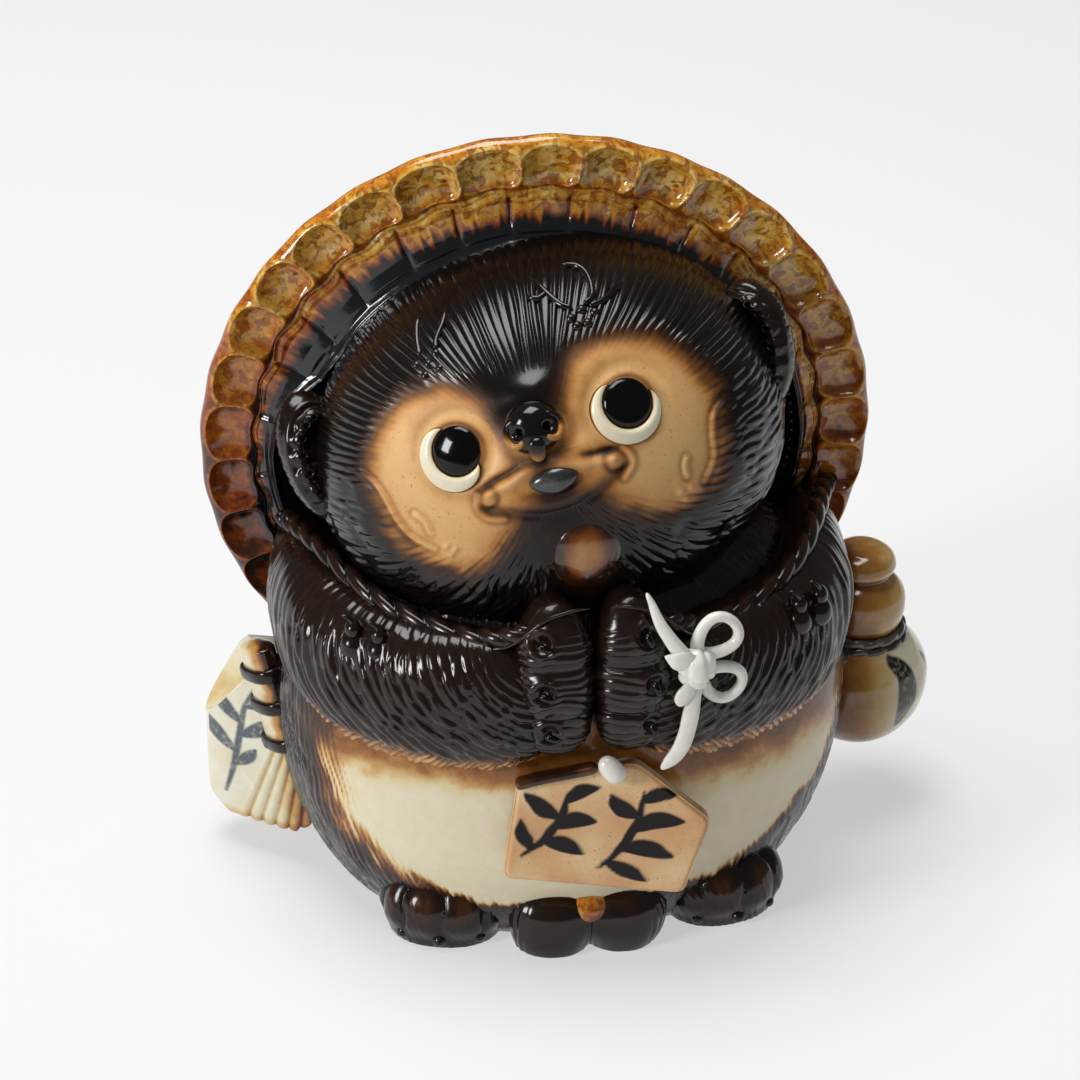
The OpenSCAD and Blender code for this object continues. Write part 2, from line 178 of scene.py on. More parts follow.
def curve(points, n):
    """n points along a smooth curve through the given ones."""
    points = np.array(points, float)
    grown = np.vstack([2 * points[0] - points[1], points, 2 * points[-1] - points[-2]])
    t = np.linspace(0, len(points) - 1 - 1e-9, n)
    k = t.astype(int)
    f = (t - k)[:, None]
    a, b, c, d = (grown[k + j] for j in range(4))
    return 0.5 * (2 * b + (c - a) * f + (2 * a - 5 * b + 4 * c - d) * f**2 + (3 * b - a - 3 * c + d) * f**3)


def values_along(values, n):
    """n values along a smooth curve through the given ones."""
    return curve(joined(values, 0), n)[:, 0]


def inside(x, z, outline):
    """Distance in from a closed outline drawn across and up, negative outside."""
    loop = np.array(list(outline) + [outline[0]], float)
    d, _ = to_line(x, z, loop)
    within = np.zeros(np.shape(x), bool)
    for (x0, z0), (x1, z1) in zip(loop[:-1], loop[1:]):
        crossing = (z0 > z) != (z1 > z)
        within ^= crossing & (x < (x1 - x0) * (z - z0) / (z1 - z0 + 1e-12) + x0)
    return np.where(within, d, -d)


def smoothed(outline, n):
    """A closed outline rounded through its points."""
    points = np.array(outline, float)
    m = len(points)
    t = np.arange(n) * m / n
    k = t.astype(int)
    f = (t - k)[:, None]
    a, b, c, d = (points[(k + j) % m] for j in (-1, 0, 1, 2))
    return 0.5 * (2 * b + (c - a) * f + (2 * a - 5 * b + 4 * c - d) * f**2 + (3 * b - a - 3 * c + d) * f**3)


# Skins over grids of points


def facing(grid):
    """Outward normals of a grid of rows that run anticlockwise and upwards."""
    across = np.roll(grid, -1, 1) - np.roll(grid, 1, 1)
    return unit(np.cross(across, np.gradient(grid, axis=0)))


def outward(centre, grid, *layers):
    """The grid and its layers, run the other way round if its normals would point towards the centre."""
    made = (grid, *layers)
    if (facing(grid) * (grid - centre)).sum() < 0:
        made = tuple(item[:, ::-1] for item in made)
    return made if layers else made[0]


def skin(grid, closed=True, ends=True, **layers):
    """Points, quads, triangles and layers of a grid; ends draws its first and last rows in to a point."""
    m, n = grid.shape[:2]
    index = np.arange(m * n).reshape(m, n)
    if closed:
        index = np.hstack([index, index[:, :1]])
    quads = np.stack([index[:-1, :-1], index[:-1, 1:], index[1:, 1:], index[1:, :-1]], -1).reshape(-1, 4)
    points = grid.reshape(-1, 3)
    values = {k: np.broadcast_to(v, (m, n)).reshape(-1) for k, v in layers.items()}
    triangles = np.zeros((0, 3), int)
    if ends:
        low, high = index[0], index[-1]
        points = np.vstack([points, grid[0].mean(0), grid[-1].mean(0)])
        values = {k: np.append(v, [v[:n].mean(), v[-n:].mean()]) for k, v in values.items()}
        first = np.full(len(low) - 1, m * n)
        triangles = np.vstack([
            np.stack([first, low[1:], low[:-1]], -1),
            np.stack([first + 1, high[:-1], high[1:]], -1),
        ])
    return points, quads, triangles, values


def piece(name, parts, material, nodes):
    """One mesh object out of skins, standing for the named CAD nodes."""
    points, quads, triangles = [], [], []
    layers = {k: [] for k in parts[0][3]}
    count = 0
    for p, q, t, values in parts:
        points.append(p)
        quads.append(q + count)
        triangles.append(t + count)
        for k in layers:
            layers[k].append(values[k])
        count += len(p)
    quads = np.concatenate(quads)
    triangles = np.concatenate(triangles)
    corners = np.concatenate([quads.ravel(), triangles.ravel()]).astype(np.int32)
    starts = np.concatenate([np.arange(len(quads)) * 4, len(quads) * 4 + np.arange(len(triangles)) * 3])
    mesh = bpy.data.meshes.new(name)
    mesh.vertices.add(count)
    mesh.vertices.foreach_set("co", (np.concatenate(points) * MM).astype(np.float32).ravel())
    mesh.loops.add(len(corners))
    mesh.loops.foreach_set("vertex_index", corners)
    mesh.polygons.add(len(starts))
    mesh.polygons.foreach_set("loop_start", starts.astype(np.int32))
    mesh.update(calc_edges=True)
    for k, v in layers.items():
        layer = mesh.attributes.new(k, "FLOAT", "POINT")
        layer.data.foreach_set("value", np.concatenate(v).astype(np.float32))
    mesh.shade_smooth()
    mesh.materials.append(material)
    thing = bpy.data.objects.new(name, mesh)
    bpy.context.collection.objects.link(thing)
    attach(thing, "root")
    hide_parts(*nodes)
    return thing


def egg(r, e, n, m, low=-90.0, high=90.0):
    """Grid over an egg with its own radius towards -x, +x, -y, +y, -z and +z, and its angles u and v."""
    edge = 90.0 / m
    v = np.radians(np.linspace(max(low, -90 + edge), min(high, 90 - edge), m))[:, None]
    u = circle(n)
    c = np.cos(v) ** e[1]
    x = c * spow(np.cos(u), e[0])
    y = c * spow(np.sin(u), e[0])
    z = spow(np.sin(v), e[1]) + 0 * u
    x = x * np.where(x < 0, r[0], r[1])
    y = y * np.where(y < 0, r[2], r[3])
    z = z * np.where(z < 0, r[4], r[5])
    grid = np.stack([x, y, z], -1)
    return grid, u + 0 * v, v + 0 * u


def ball(centre, r, n, m, turn=None):
    """A whole egg round a centre, with one radius or six."""
    grid, _, _ = egg(r if hasattr(r, "__len__") else [r] * 6, (1, 1), n, m)
    if turn is not None:
        grid = grid @ turn.T
    return grid + np.array(centre, float)


def tube(path, wide, high, n=24, up=(0, 0, 1), cut=None):
    """Grid round a path with its own half-width and half-height; cut shapes the section."""
    path = np.array(path, float)
    t = unit(np.gradient(path, axis=0))
    side = unit(np.cross(np.array(up, float), t))
    top = np.cross(t, side)
    a = circle(n)[..., None]
    w = np.broadcast_to(np.array(wide, float), (len(path),))[:, None, None]
    h = np.broadcast_to(np.array(high, float), (len(path),))[:, None, None]
    p = cut or 1.0
    return path[:, None] + side[:, None] * w * spow(np.cos(a), p) + top[:, None] * h * spow(np.sin(a), p)


def tapered(n, start=0.15, end=0.15, floor=0.02):
    """Thickness from 0 to 1 along a path that is rounded off at its ends."""
    t = np.linspace(0, 1, n)
    a = np.sqrt(np.clip(1 - (1 - np.clip(t / start, 0, 1)) ** 2, 0, 1)) if start else np.ones(n)
    b = np.sqrt(np.clip(1 - (1 - np.clip((1 - t) / end, 0, 1)) ** 2, 0, 1)) if end else np.ones(n)
    return np.maximum(a * b, floor)


# Finishes


def linear(code):
    """A screen colour such as #a2671f as linear numbers."""
    parts = [int(code[k : k + 2], 16) / 255 for k in (1, 3, 5)]
    return tuple(c / 12.92 if c <= 0.04045 else ((c + 0.055) / 1.055) ** 2.4 for c in parts)


class Finish:
    """A node material that is put together step by step."""

    def __init__(self, name):
        self.material = bpy.data.materials.new(name)
        self.material.use_nodes = True
        self.tree = self.material.node_tree
        self.tree.nodes.clear()
        self.place = self.node("ShaderNodeTexCoord").outputs["Object"]

    def node(self, kind, inputs=None, **settings):
        made = self.tree.nodes.new(kind)
        for k, v in settings.items():
            setattr(made, k, v)
        for k, v in (inputs or {}).items():
            if isinstance(v, bpy.types.NodeSocket):
                self.tree.links.new(v, made.inputs[k])
            else:
                made.inputs[k].default_value = v
        return made

    def layer(self, name):
        return self.node("ShaderNodeAttribute", attribute_name=name).outputs["Fac"]

    def math(self, operation, a, b=0.0, clamp=False):
        return self.node("ShaderNodeMath", {0: a, 1: b}, operation=operation, use_clamp=clamp).outputs[0]

    def noise(self, size, detail, rough, warp=0.0):
        """Noise from 0 to 1 with lumps of about that size in millimetres."""
        inputs = {"Scale": 1000.0 / size, "Detail": detail, "Roughness": rough, "Distortion": warp}
        made = self.node("ShaderNodeTexNoise", inputs)
        self.tree.links.new(self.place, made.inputs["Vector"])
        return made.outputs["Fac"]

    def spread(self, value, low, high, to_low=0.0, to_high=1.0):
        """The value carried from one range to another and held at its ends."""
        inputs = {"Value": value, "From Min": low, "From Max": high, "To Min": to_low, "To Max": to_high}
        return self.node("ShaderNodeMapRange", inputs).outputs["Result"]

    def ramp(self, value, stops):
        made = self.node("ShaderNodeValToRGB", {"Fac": value})
        elements = made.color_ramp.elements
        while len(elements) < len(stops):
            elements.new(0.5)
        for element, (at, code) in zip(elements, stops):
            element.position = at
            element.color = (*linear(code), 1)
        return made.outputs["Color"]

    def blend(self, share, a, b):
        """Colour a turned towards colour b; each is a socket or a code such as #a2671f."""
        made = self.node("ShaderNodeMix", {"Factor": share}, data_type="RGBA")
        for socket, v in ((made.inputs[6], a), (made.inputs[7], b)):
            if isinstance(v, bpy.types.NodeSocket):
                self.tree.links.new(v, socket)
            else:
                socket.default_value = (*linear(v), 1)
        return made.outputs[2]

    def bump(self, height, strength, depth):
        """Normals of a height, with the depth in millimetres."""
        inputs = {"Height": height, "Strength": strength, "Distance": depth * MM}
        return self.node("ShaderNodeBump", inputs).outputs["Normal"]

    def done(self, **inputs):
        """Feeds the surface shader. Names use _ for a space."""
        shader = self.node("ShaderNodeBsdfPrincipled", {k.replace("_", " "): v for k, v in inputs.items()})
        output = self.node("ShaderNodeOutputMaterial")
        self.tree.links.new(shader.outputs[0], output.inputs[0])
        return self.material


def glaze(name, stops, mottle, lump=4.0, gloss=0.13, ripple=0.25, coat=0.35, shine=0.5):
    """Runny glaze: the tone layer picks a colour from the stops, and noise breaks it up."""
    f = Finish(name)
    big = f.noise(lump, 4.0, 0.6, 0.6)
    small = f.noise(lump * 0.28, 3.0, 0.6, 0.3)
    fine = mottle * 0.45
    shift = f.math("ADD", f.spread(big, 0.3, 0.7, -mottle, mottle), f.spread(small, 0.3, 0.7, -fine, fine))
    colour = f.ramp(f.math("ADD", f.layer("tone"), shift, True), stops)
    normal = f.bump(f.noise(3.2, 2.0, 0.5), 0.35, ripple)
    return f.done(
        Base_Color=colour, Roughness=f.spread(small, 0.3, 0.7, gloss, gloss + 0.08), IOR=1.52,
        Normal=normal,
        Specular_IOR_Level=shine, Coat_Weight=coat, Coat_Roughness=0.05, Coat_IOR=1.5,
    )


FUR_STOPS = [
    (0.0, "#070505"), (0.14, "#1b110b"), (0.3, "#30190c"), (0.44, "#5d3516"), (0.57, "#966029"),
    (0.7, "#c59a5c"), (0.84, "#dccb9e"), (1.0, "#e3dcc3"),
]
HAT_STOPS = [
    (0.0, "#0e1519"), (0.13, "#191615"), (0.27, "#40200f"), (0.42, "#7c370d"), (0.56, "#ab5f14"),
    (0.7, "#c58427"), (0.84, "#d69f3c"), (1.0, "#ecca7c"),
]


def hat_finish():
    """Amber glaze with olive and red-brown spots that have run; the tone layer sets how dark it lies."""
    f = Finish("amber_run_glaze")
    tone = f.layer("tone")
    flow = f.noise(6.0, 4.0, 0.6, 1.2)
    fine = f.noise(1.6, 3.0, 0.6, 0.6)
    shift = f.math("ADD", f.spread(flow, 0.3, 0.7, -0.12, 0.12), f.spread(fine, 0.3, 0.7, -0.07, 0.07))
    shift = f.math("MULTIPLY", shift, f.spread(tone, 0.08, 0.35))
    colour = f.ramp(f.math("ADD", tone, shift, True), HAT_STOPS)
    rust = f.spread(f.noise(3.1, 2.0, 0.45, 0.8), 0.53, 0.58)
    rust = f.math("MULTIPLY", rust, f.spread(tone, 0.25, 0.5), True)
    colour = f.blend(f.math("MULTIPLY", rust, 0.72), colour, "#8e3f0d")
    olive = f.spread(f.noise(2.4, 2.0, 0.5, 0.5), 0.56, 0.62)
    olive = f.math("MULTIPLY", olive, f.spread(tone, 0.4, 0.65), True)
    colour = f.blend(f.math("MULTIPLY", olive, 0.45), colour, "#54471a")
    normal = f.bump(f.noise(3.2, 2.0, 0.5), 0.35, 0.22)
    return f.done(
        Base_Color=colour, Roughness=f.spread(fine, 0.3, 0.7, 0.1, 0.2), IOR=1.52, Normal=normal,
        Coat_Weight=0.3, Coat_Roughness=0.05, Coat_IOR=1.5,
    )


DARK_GLAZE = glaze("dark_brown_glaze", FUR_STOPS, mottle=0.03, lump=9, gloss=0.15, coat=0.16, shine=0.32)
BELLY_GLAZE = glaze("cream_to_brown_glaze", FUR_STOPS, mottle=0.035, lump=5, gloss=0.13, ripple=0.12,
                    coat=0.16, shine=0.32)
HAT_GLAZE = hat_finish()
BLACK_STOPS = [(0.0, "#030303"), (0.5, "#080706"), (1.0, "#4a3324")]
BLACK_GLAZE = glaze("black_gloss_glaze", BLACK_STOPS, mottle=0.04, gloss=0.05, ripple=0.05, coat=0.0,
                    shine=0.3)
SLATE_STOPS = [(0.0, "#131414"), (0.5, "#2f3131"), (1.0, "#6f6a60")]
GREY_GLAZE = glaze("slate_glaze", SLATE_STOPS, mottle=0.12, lump=3, gloss=0.2)


def face_finish():
    """Bare tan clay with sprayed brown edges. The gloss layer makes it shiny; the dim layer dulls that."""
    f = Finish("sprayed_face")
    tone = f.math("ADD", f.layer("tone"), f.spread(f.noise(3.5, 4.0, 0.6), 0.3, 0.7, -0.03, 0.03), True)
    colour = f.ramp(tone, [
        (0.0, "#080606"), (0.16, "#150e0a"), (0.32, "#37200f"), (0.48, "#744a20"), (0.62, "#ae773d"),
        (0.78, "#d2a368"), (1.0, "#e3be89"),
    ])
    speck = f.spread(f.noise(0.75, 1.0, 0.5), 0.69, 0.75, 0.0, 0.55)
    colour = f.blend(f.math("MULTIPLY", speck, f.spread(tone, 0.5, 0.8)), colour, "#4a2f18")
    gloss = f.layer("gloss")
    dim = f.layer("dim")
    normal = f.bump(f.noise(0.9, 3.0, 0.6), 0.25, 0.1)
    return f.done(
        Base_Color=colour, Roughness=f.spread(gloss, 0.0, 1.0, 0.48, 0.13), IOR=1.5, Normal=normal,
        Specular_IOR_Level=f.spread(dim, 0.0, 1.0, 0.33, 0.05), Coat_Roughness=0.05,
        Coat_Weight=f.math(
            "MULTIPLY", f.spread(gloss, 0.0, 1.0, 0.02, 0.16), f.spread(dim, 0.0, 1.0, 1.0, 0.0)
        ),
    )


def clay_finish():
    """Unglazed buff clay with a pink blush and fine specks; the ink layer is thick black brushwork."""
    f = Finish("bare_buff_clay")
    blush = f.spread(f.noise(22, 3.0, 0.5), 0.35, 0.65)
    tone = f.math("ADD", f.math("MULTIPLY", blush, 0.5), f.math("MULTIPLY", f.layer("tone"), 0.5))
    colour = f.ramp(tone, [(0.0, "#c6946b"), (0.45, "#d8ab7b"), (0.75, "#e4c292"), (1.0, "#ead8b0")])
    grain = f.spread(f.noise(1.3, 4.0, 0.7), 0.3, 0.7)
    colour = f.blend(f.math("MULTIPLY", grain, 0.15), colour, "#b07c52")
    speck = f.spread(f.noise(0.8, 1.0, 0.5), 0.68, 0.74, 0.0, 0.5)
    colour = f.blend(speck, colour, "#5a3c26")
    ink = f.layer("ink")
    colour = f.blend(ink, colour, "#15100f")
    normal = f.bump(f.noise(0.6, 4.0, 0.7), 0.35, 0.14)
    return f.done(Base_Color=colour, Roughness=f.spread(ink, 0.0, 1.0, 0.72, 0.2), IOR=1.45, Normal=normal,
                  Specular_IOR_Level=f.spread(ink, 0.0, 1.0, 0.5, 0.25))


def slip_finish():
    """Satin white slip that wears to brown where the tone layer falls."""
    f = Finish("white_slip_glaze")
    tone = f.math("ADD", f.layer("tone"), f.spread(f.noise(2.4, 3.0, 0.6), 0.3, 0.7, -0.08, 0.08), True)
    stops = [(0.0, "#4a2c18"), (0.25, "#8a6a48"), (0.45, "#c9c2b2"), (0.7, "#dedad0"), (1.0, "#f0eee6")]
    colour = f.ramp(tone, stops)
    normal = f.bump(f.noise(2.2, 3.0, 0.5), 0.3, 0.2)
    return f.done(
        Base_Color=colour, Roughness=0.24, IOR=1.5, Normal=normal, Coat_Weight=0.25, Coat_Roughness=0.12,
        Subsurface_Weight=0.08, Subsurface_Radius=(0.002, 0.0015, 0.001), Subsurface_Scale=1.0,
    )


def brushed_finish(name, stops, ink_colour):
    """Pale glaze over clay with brushwork in the ink layer; the tone layer picks the colour."""
    f = Finish(name)
    big = f.noise(7, 4.0, 0.6, 0.8)
    tone = f.math("ADD", f.layer("tone"), f.spread(big, 0.3, 0.7, -0.06, 0.06), True)
    colour = f.ramp(tone, stops)
    ink = f.math("MULTIPLY", f.layer("ink"), f.spread(f.noise(2.0, 3.0, 0.6), 0.25, 0.5, 0.6, 1.0), True)
    colour = f.blend(ink, colour, ink_colour)
    normal = f.bump(f.noise(3.0, 2.0, 0.5), 0.3, 0.2)
    return f.done(Base_Color=colour, Roughness=0.16, IOR=1.5, Normal=normal, Coat_Weight=0.3,
                  Coat_Roughness=0.06)


FACE = face_finish()
CLAY = clay_finish()
SLIP = slip_finish()
FLASK = brushed_finish("flask_glaze", [
    (0.0, "#160f0b"), (0.15, "#33190b"), (0.35, "#7a4213"), (0.55, "#a5742f"), (0.75, "#bfa36c"),
    (1.0, "#cfc8ac"),
], "#17171a")
BOOK = brushed_finish("book_glaze", [
    (0.0, "#140e0b"), (0.2, "#3a1c0c"), (0.4, "#8a4f1a"), (0.6, "#bd8d4a"), (0.8, "#d6c79b"),
    (1.0, "#dedccb"),
], "#4b545a")


# Body

BODY_C = np.array([-2.0, -12.0, 70.0])
BODY_R = [93.5, 93.5, 69, 80, 98, 74]
BELLY = smoothed([
    (-88, 60), (-82, 38), (-63, 21.5), (-31, 17.5), (2, 16.5), (33, 19.5), (58, 28), (77, 44), (88, 60),
    (92, 76), (90, 88), (40, 92), (0, 92), (-50, 92), (-84, 88), (-91, 74),
], 90)


def belly_tone(p, fur):
    """Cream inside the belly's outline, running through honey to brown past its edge and under the arms."""
    x, y, z = p[..., 0], p[..., 1], p[..., 2]
    left = step(-40, -66, x)
    d = inside(x, z, BELLY) + 2.2 * cloud(p, 7, 31) + (2.6 + 5 * left) * (fur - 0.5)
    width = 4 + 9 * left
    tone = 0.1 + 0.85 * step(-0.15, 1.0, d / width)
    right = step(6, 40, x)
    run = z + 2.5 * cloud(p, 9, 33) + 1.5 * cloud(p, 3, 34)
    hem = mix(0.42 * step(61, 76, run), 0.5 * step(53, 77, run), right)
    return np.where(y > -8, 0.1, np.maximum(tone - hem * step(0.3, 0.8, tone), 0.1))


def torso():
    grid, u, v = egg(BODY_R, (0.94, 0.9), 640, 290, -46.5, 56)
    grid = grid + BODY_C
    grid[..., 2] = np.maximum(grid[..., 2], 0)
    x, y, z = grid[..., 0], grid[..., 1], grid[..., 2]
    out = facing(grid)
    around = np.unwrap(u, axis=1) * 86
    fur = comb(around + 0.25 * z, -v * 82, 2.7, 20, seed=3)
    front = inside(x, z, BELLY)
    bare = np.where(y < -8, step(-3, 7, front), 0)
    tuft = np.where(y < -8, bell(front + 1, 4.5), 0)
    height = (0.75 + 0.5 * step(95, 115, z)) * fur * (1 - bare)
    height = height + 0.5 * tuft * comb(around, -z, 3.4, 12, seed=8) + 0.25 * cloud(grid, 22, 4)
    height = height * step(0, 5, z)
    tone = belly_tone(grid, fur) + 0.05 * (fur - 0.45) * (1 - bare)
    parts = [skin(grid + out * height[..., None], ends=False, tone=tone)]
    return piece("body_and_belly", parts, BELLY_GLAZE, ["torso_shell", "belly_panel"])


def foot_ring():
    """Flat underside with the vent hole, raw where it stands."""
    grid, u, _ = egg(BODY_R, (0.94, 0.9), 192, 3, -46.5, -40)
    rim = grid[0] + BODY_C
    hole = np.stack([12 * np.cos(u[0]), 22 + 12 * np.sin(u[0])], -1)
    rows = []
    profile = [
        (0.995, 4.0), (0.985, 1.2), (0.955, 0.25), (0.9, 0.0), (0.6, 0.0), (0.3, 0.0), (0.05, 0.0),
        (0.0, 0.5), (0.0, 6.0),
    ]
    for share, z in profile:
        xy = mix(hole, rim[:, :2], share)
        rows.append(np.column_stack([xy, np.full(len(xy), z)]))
    grid = np.array(rows)[::-1]
    grid[..., 2] += 0.12 * (cloud(grid, 5, 2) + 1) * (grid[..., 2] > 0.2)
    return piece("foot_ring", [skin(grid, ends=False, tone=0.4, ink=0)], CLAY, ["base_slab"])


# Arms, paws and feet

ARM_PATH = [
    (82, 28, 104), (83, 12, 102.5), (82.5, -8, 101.5), (77, -30, 99.5), (66, -49, 98), (51, -63, 98),
    (35, -72, 99), (20, -77, 101), (11, -76, 103),
]
ARM_WIDE = [3, 8, 12, 15, 16, 15.5, 14, 11, 4]
ARM_HIGH = [6, 18, 23, 25, 25, 24.5, 24, 20, 8]


def arm(side):
    """Upper arm and forearm in one sweep, with long arcs of fur and a pale fringe along the hem."""
    rows, n = 400, 320
    path = curve(ARM_PATH, rows) * [side, 1, 1] + [BODY_C[0], 0, 0]
    wide = values_along(ARM_WIDE, rows)
    high = values_along(ARM_HIGH, rows)
    grid = tube(path, wide, high, n, cut=0.92)
    grid = outward(path[:, None], grid)
    out = facing(grid)
    z = grid[..., 2]
    along = np.linspace(0, 168, rows)[:, None] + 0 * z
    drop = 100 - z
    fan = np.hypot(along - 146, drop + 44)
    turn = np.arctan2(drop + 44, 146 - along)
    drift = 3.0 * cloud(joined(turn * 2.2, fan / 26), 1.0, 17 + side)
    arcs = grooves((fan + drift - 16 * turn) / 3.4, turn * 90, 400, seed=11 + side, flat=2.4, wander=0.3)
    locks = comb(fan + drift - 16 * turn, turn * 100, 4.8, 30, seed=15 + side, flat=2.2)
    fur = 0.55 * arcs + 0.55 * locks
    fringe = comb(along + 0.9 * drop, drop, 2.6, 11, seed=23 + side, flat=1.8)
    hem = step(14, 21, drop)
    lobe = 0.5 + 0.5 * np.sin(along / 7.5 * 2 * np.pi + 2 * cloud(grid, 14, 6))
    quiet = step(8, 20, -drop) * 0.6 + 0.35 * step(0.1, 0.9, cloud(grid, 24, 19))
    deep = 1.6 + 0.8 * bell((along - 112) / 34, 1.0) * bell((drop - 2) / 12, 1.0)
    height = deep * mix(fur, 0.7 * fringe, hem) * (1 - np.clip(quiet, 0, 0.9))
    height = height + 0.4 * cloud(grid, 18, 7) + hem * (0.6 * lobe - 0.3)
    grid = grid + out * height[..., None]
    fade = step(14.0, 21.0, drop + 4.5 * (fringe - 0.5) + 1.4 * lobe)
    tone = 0.14 + 0.06 * (fur - 0.4) + (0.42 + 0.24 * (fringe - 0.4)) * fade * (grid[..., 1] < 20)
    parts = [skin(grid, tone=tone)]
    return piece(f"{hand(side)}_arm_fur", parts, BELLY_GLAZE, [f"{hand(side)}_arm"])


PAW_CLAWS = {
    1: [(14.2, 126.5), (16.2, 110.5), (15.6, 95.5)],
    -1: [(-18.6, 126.2), (-18.2, 109.8), (-16.4, 95.0)],
}


def paw(side):
    """A stack of three pads, each wrapped in short grooves."""
    cx = 9.7 if side > 0 else -13.2
    rows, n = 340, 280
    low, high = 81.0, 137.0
    z = np.linspace(low, high, rows)[:, None]
    a = circle(n)
    t = (z - (low + high) / 2) / ((high - low) / 2)
    cap = np.sqrt(np.clip(1 - np.abs(t) ** 2.6, 0.004, 1))
    pad = 0 * z
    for pz, size in ((126, 11.5), (108.5, 10.5), (91.5, 10.5)):
        pad = np.maximum(pad, np.sqrt(np.clip(1 - ((z - pz) / size) ** 2, 0, 1)))
    outer = step(-0.2, 0.2, np.cos(a) * side)
    r = cap * (10.4 + 1.8 * pad) * (1.0 + 0.12 * outer)
    deep = cap * (8.2 + 3.2 * pad)
    back = np.where(np.sin(a) > 0, 12.0, deep)
    x = cx + r * spow(np.cos(a), 0.9)
    y = -80.3 + 0.9 * np.clip((z - 112) / 20, 0, 1) + back * spow(np.sin(a), 0.9)
    grid = joined(x, y, z + 0 * a)
    out = facing(grid)
    wave = 3.4 * np.sin(a) * step(-32, 20, z - 105) + 2.6 * cloud(grid, 13, 21 + side)
    g = (z + wave + 0.5 * cloud(grid, 4, 5)) / 2.8
    own = hashed(np.floor(g), seed=30 + side)
    groove = (1 - np.abs(2 * (g - np.floor(g)) - 1) ** 2.4) * (0.2 + 0.8 * own)
    front = step(0.15, -0.5, np.sin(a) + 0.35 * cloud(grid, 8, 9))
    front = front * (0.55 + 0.45 * step(-1.0, 0.4, -np.cos(a) * side))
    ends = step(3, 7, z - low + 0 * a) * step(5, 14, high - z + 0 * a)
    height = 0.95 * groove * front * ends
    pits = 0
    for px, pz in PAW_CLAWS[side]:
        near = np.hypot(grid[..., 0] - px, grid[..., 2] - pz)
        pits = pits + (0.9 * bell(near - 3.9, 1.4) - 2.4 * bell(near, 2.3)) * (grid[..., 1] < -80)
        pits = pits - 0.7 * height * bell(near, 5)
    height = height + pits + 0.3 * cloud(grid, 9, 5)
    tone = 0.13 + 0.05 * (groove - 0.5) + 0.03 * pad + 0 * a
    parts = [skin(grid + out * height[..., None], tone=tone)]
    return piece(f"{hand(side)}_paw_pads", parts, DARK_GLAZE, [f"{hand(side)}_paw"])


def hook(centre, size, turn):
    """A short shiny claw lying in its pit."""
    path = curve([(-0.7, 0, 0.5), (-0.1, -0.55, 0.2), (0.45, -0.75, -0.35), (0.8, -0.5, -0.9)], 22) * size
    path = path @ turn.T + np.array(centre, float)
    thick = size * 0.5 * tapered(22, 0.4, 0.75, 0.05)
    return tube(path, thick, thick, 16, up=(0, 1, 0.3))


def paw_claws():
    parts = []
    for side, spots in PAW_CLAWS.items():
        for x, z in spots:
            grid = hook((x, -91.6 if z < 120 else -89.2, z), 2.5, rot("Y", 25 * side))
            parts.append(skin(grid, tone=0.35))
    return piece("paw_claw_tips", parts, BLACK_GLAZE, ["paw_claws"])


def foot(side):
    """A rounded foot with five toes parted by upright grooves."""
    n, m = 380, 260
    grid, _, _ = egg([21.5, 21.5, 20.5, 26, 22, 16], (0.88, 0.9), n, m, -26, 88)
    out = facing(grid)
    x, y, z = grid[..., 0], grid[..., 1], grid[..., 2]
    front = step(4, -6, y)
    a = np.arctan2(-y + 6, x)
    toes = (a / np.pi) * 6.2 + 0.15 * cloud(grid, 8, 3)
    lobe = np.abs(np.sin(np.pi * toes)) ** 0.55
    fold = comb(x + 0.3 * z, z, 2.4, 14, seed=40 + side)
    height = front * (1.6 * lobe * step(-7, 0, z) - 0.9 + 0.3 * fold * step(10, 2, z))
    height = height + (1 - front) * 0.6 * fold
    grid = grid + out * height[..., None]
    turn = rot("Z", 14 * side)
    grid = grid @ turn.T + np.array([44.8 * side, -49, 9.4])
    grid[..., 2] = np.maximum(grid[..., 2], 0.02)
    tone = 0.12 + 0.05 * fold + 0.2 * front * step(0.7, 1.0, lobe) * bell(z - 7, 6)
    parts = [skin(grid, tone=tone)]
    return piece(f"{hand(side)}_foot_toes", parts, DARK_GLAZE, [f"{hand(side)}_foot"])


def foot_claws():
    parts = []
    for side in (-1, 1):
        turn = rot("Z", 14 * side)
        for t in (-1, 0, 1):
            at = turn @ np.array([t * 12.4, -18.6 + abs(t) * 4.2, 3.2]) + [44.8 * side, -49, 0]
            parts.append(skin(ball(at, [2.4, 2.4, 2.6, 4, 2.0, 2.4], 26, 16, turn), tone=0.15))
    return piece("foot_claw_tips", parts, DARK_GLAZE, ["foot_claws"])


def pouch():
    parts = []
    for cx in (-11.6, 10.2):
        grid, _, _ = egg([15.0, 15.0, 15.6, 22, 19.5, 13.0], (0.94, 0.93), 220, 150, -36, 88)
        grid = grid + np.array([cx, -64, 11])
        out = facing(grid)
        x, y, z = grid[..., 0], grid[..., 1], grid[..., 2]
        ruck = comb(np.arctan2(y + 64, x - cx) * 14, z, 2.8, 22, seed=50)
        edge = step(6, 13, np.abs(x - cx)) + 0.6 * step(20, 26, z)
        height = 0.7 * ruck * edge + 0.7 * cloud(grid, 9, 12)
        grid = grid + out * height[..., None]
        grid[..., 2] = np.maximum(grid[..., 2], 0.02)
        tone = 0.15 + 0.1 * step(12, 22, z) * bell(x - cx, 6) + 0.04 * cloud(grid, 6, 14)
        parts.append(skin(grid, tone=tone))
    return piece("pouch_lobes", parts, DARK_GLAZE, ["pouch"])


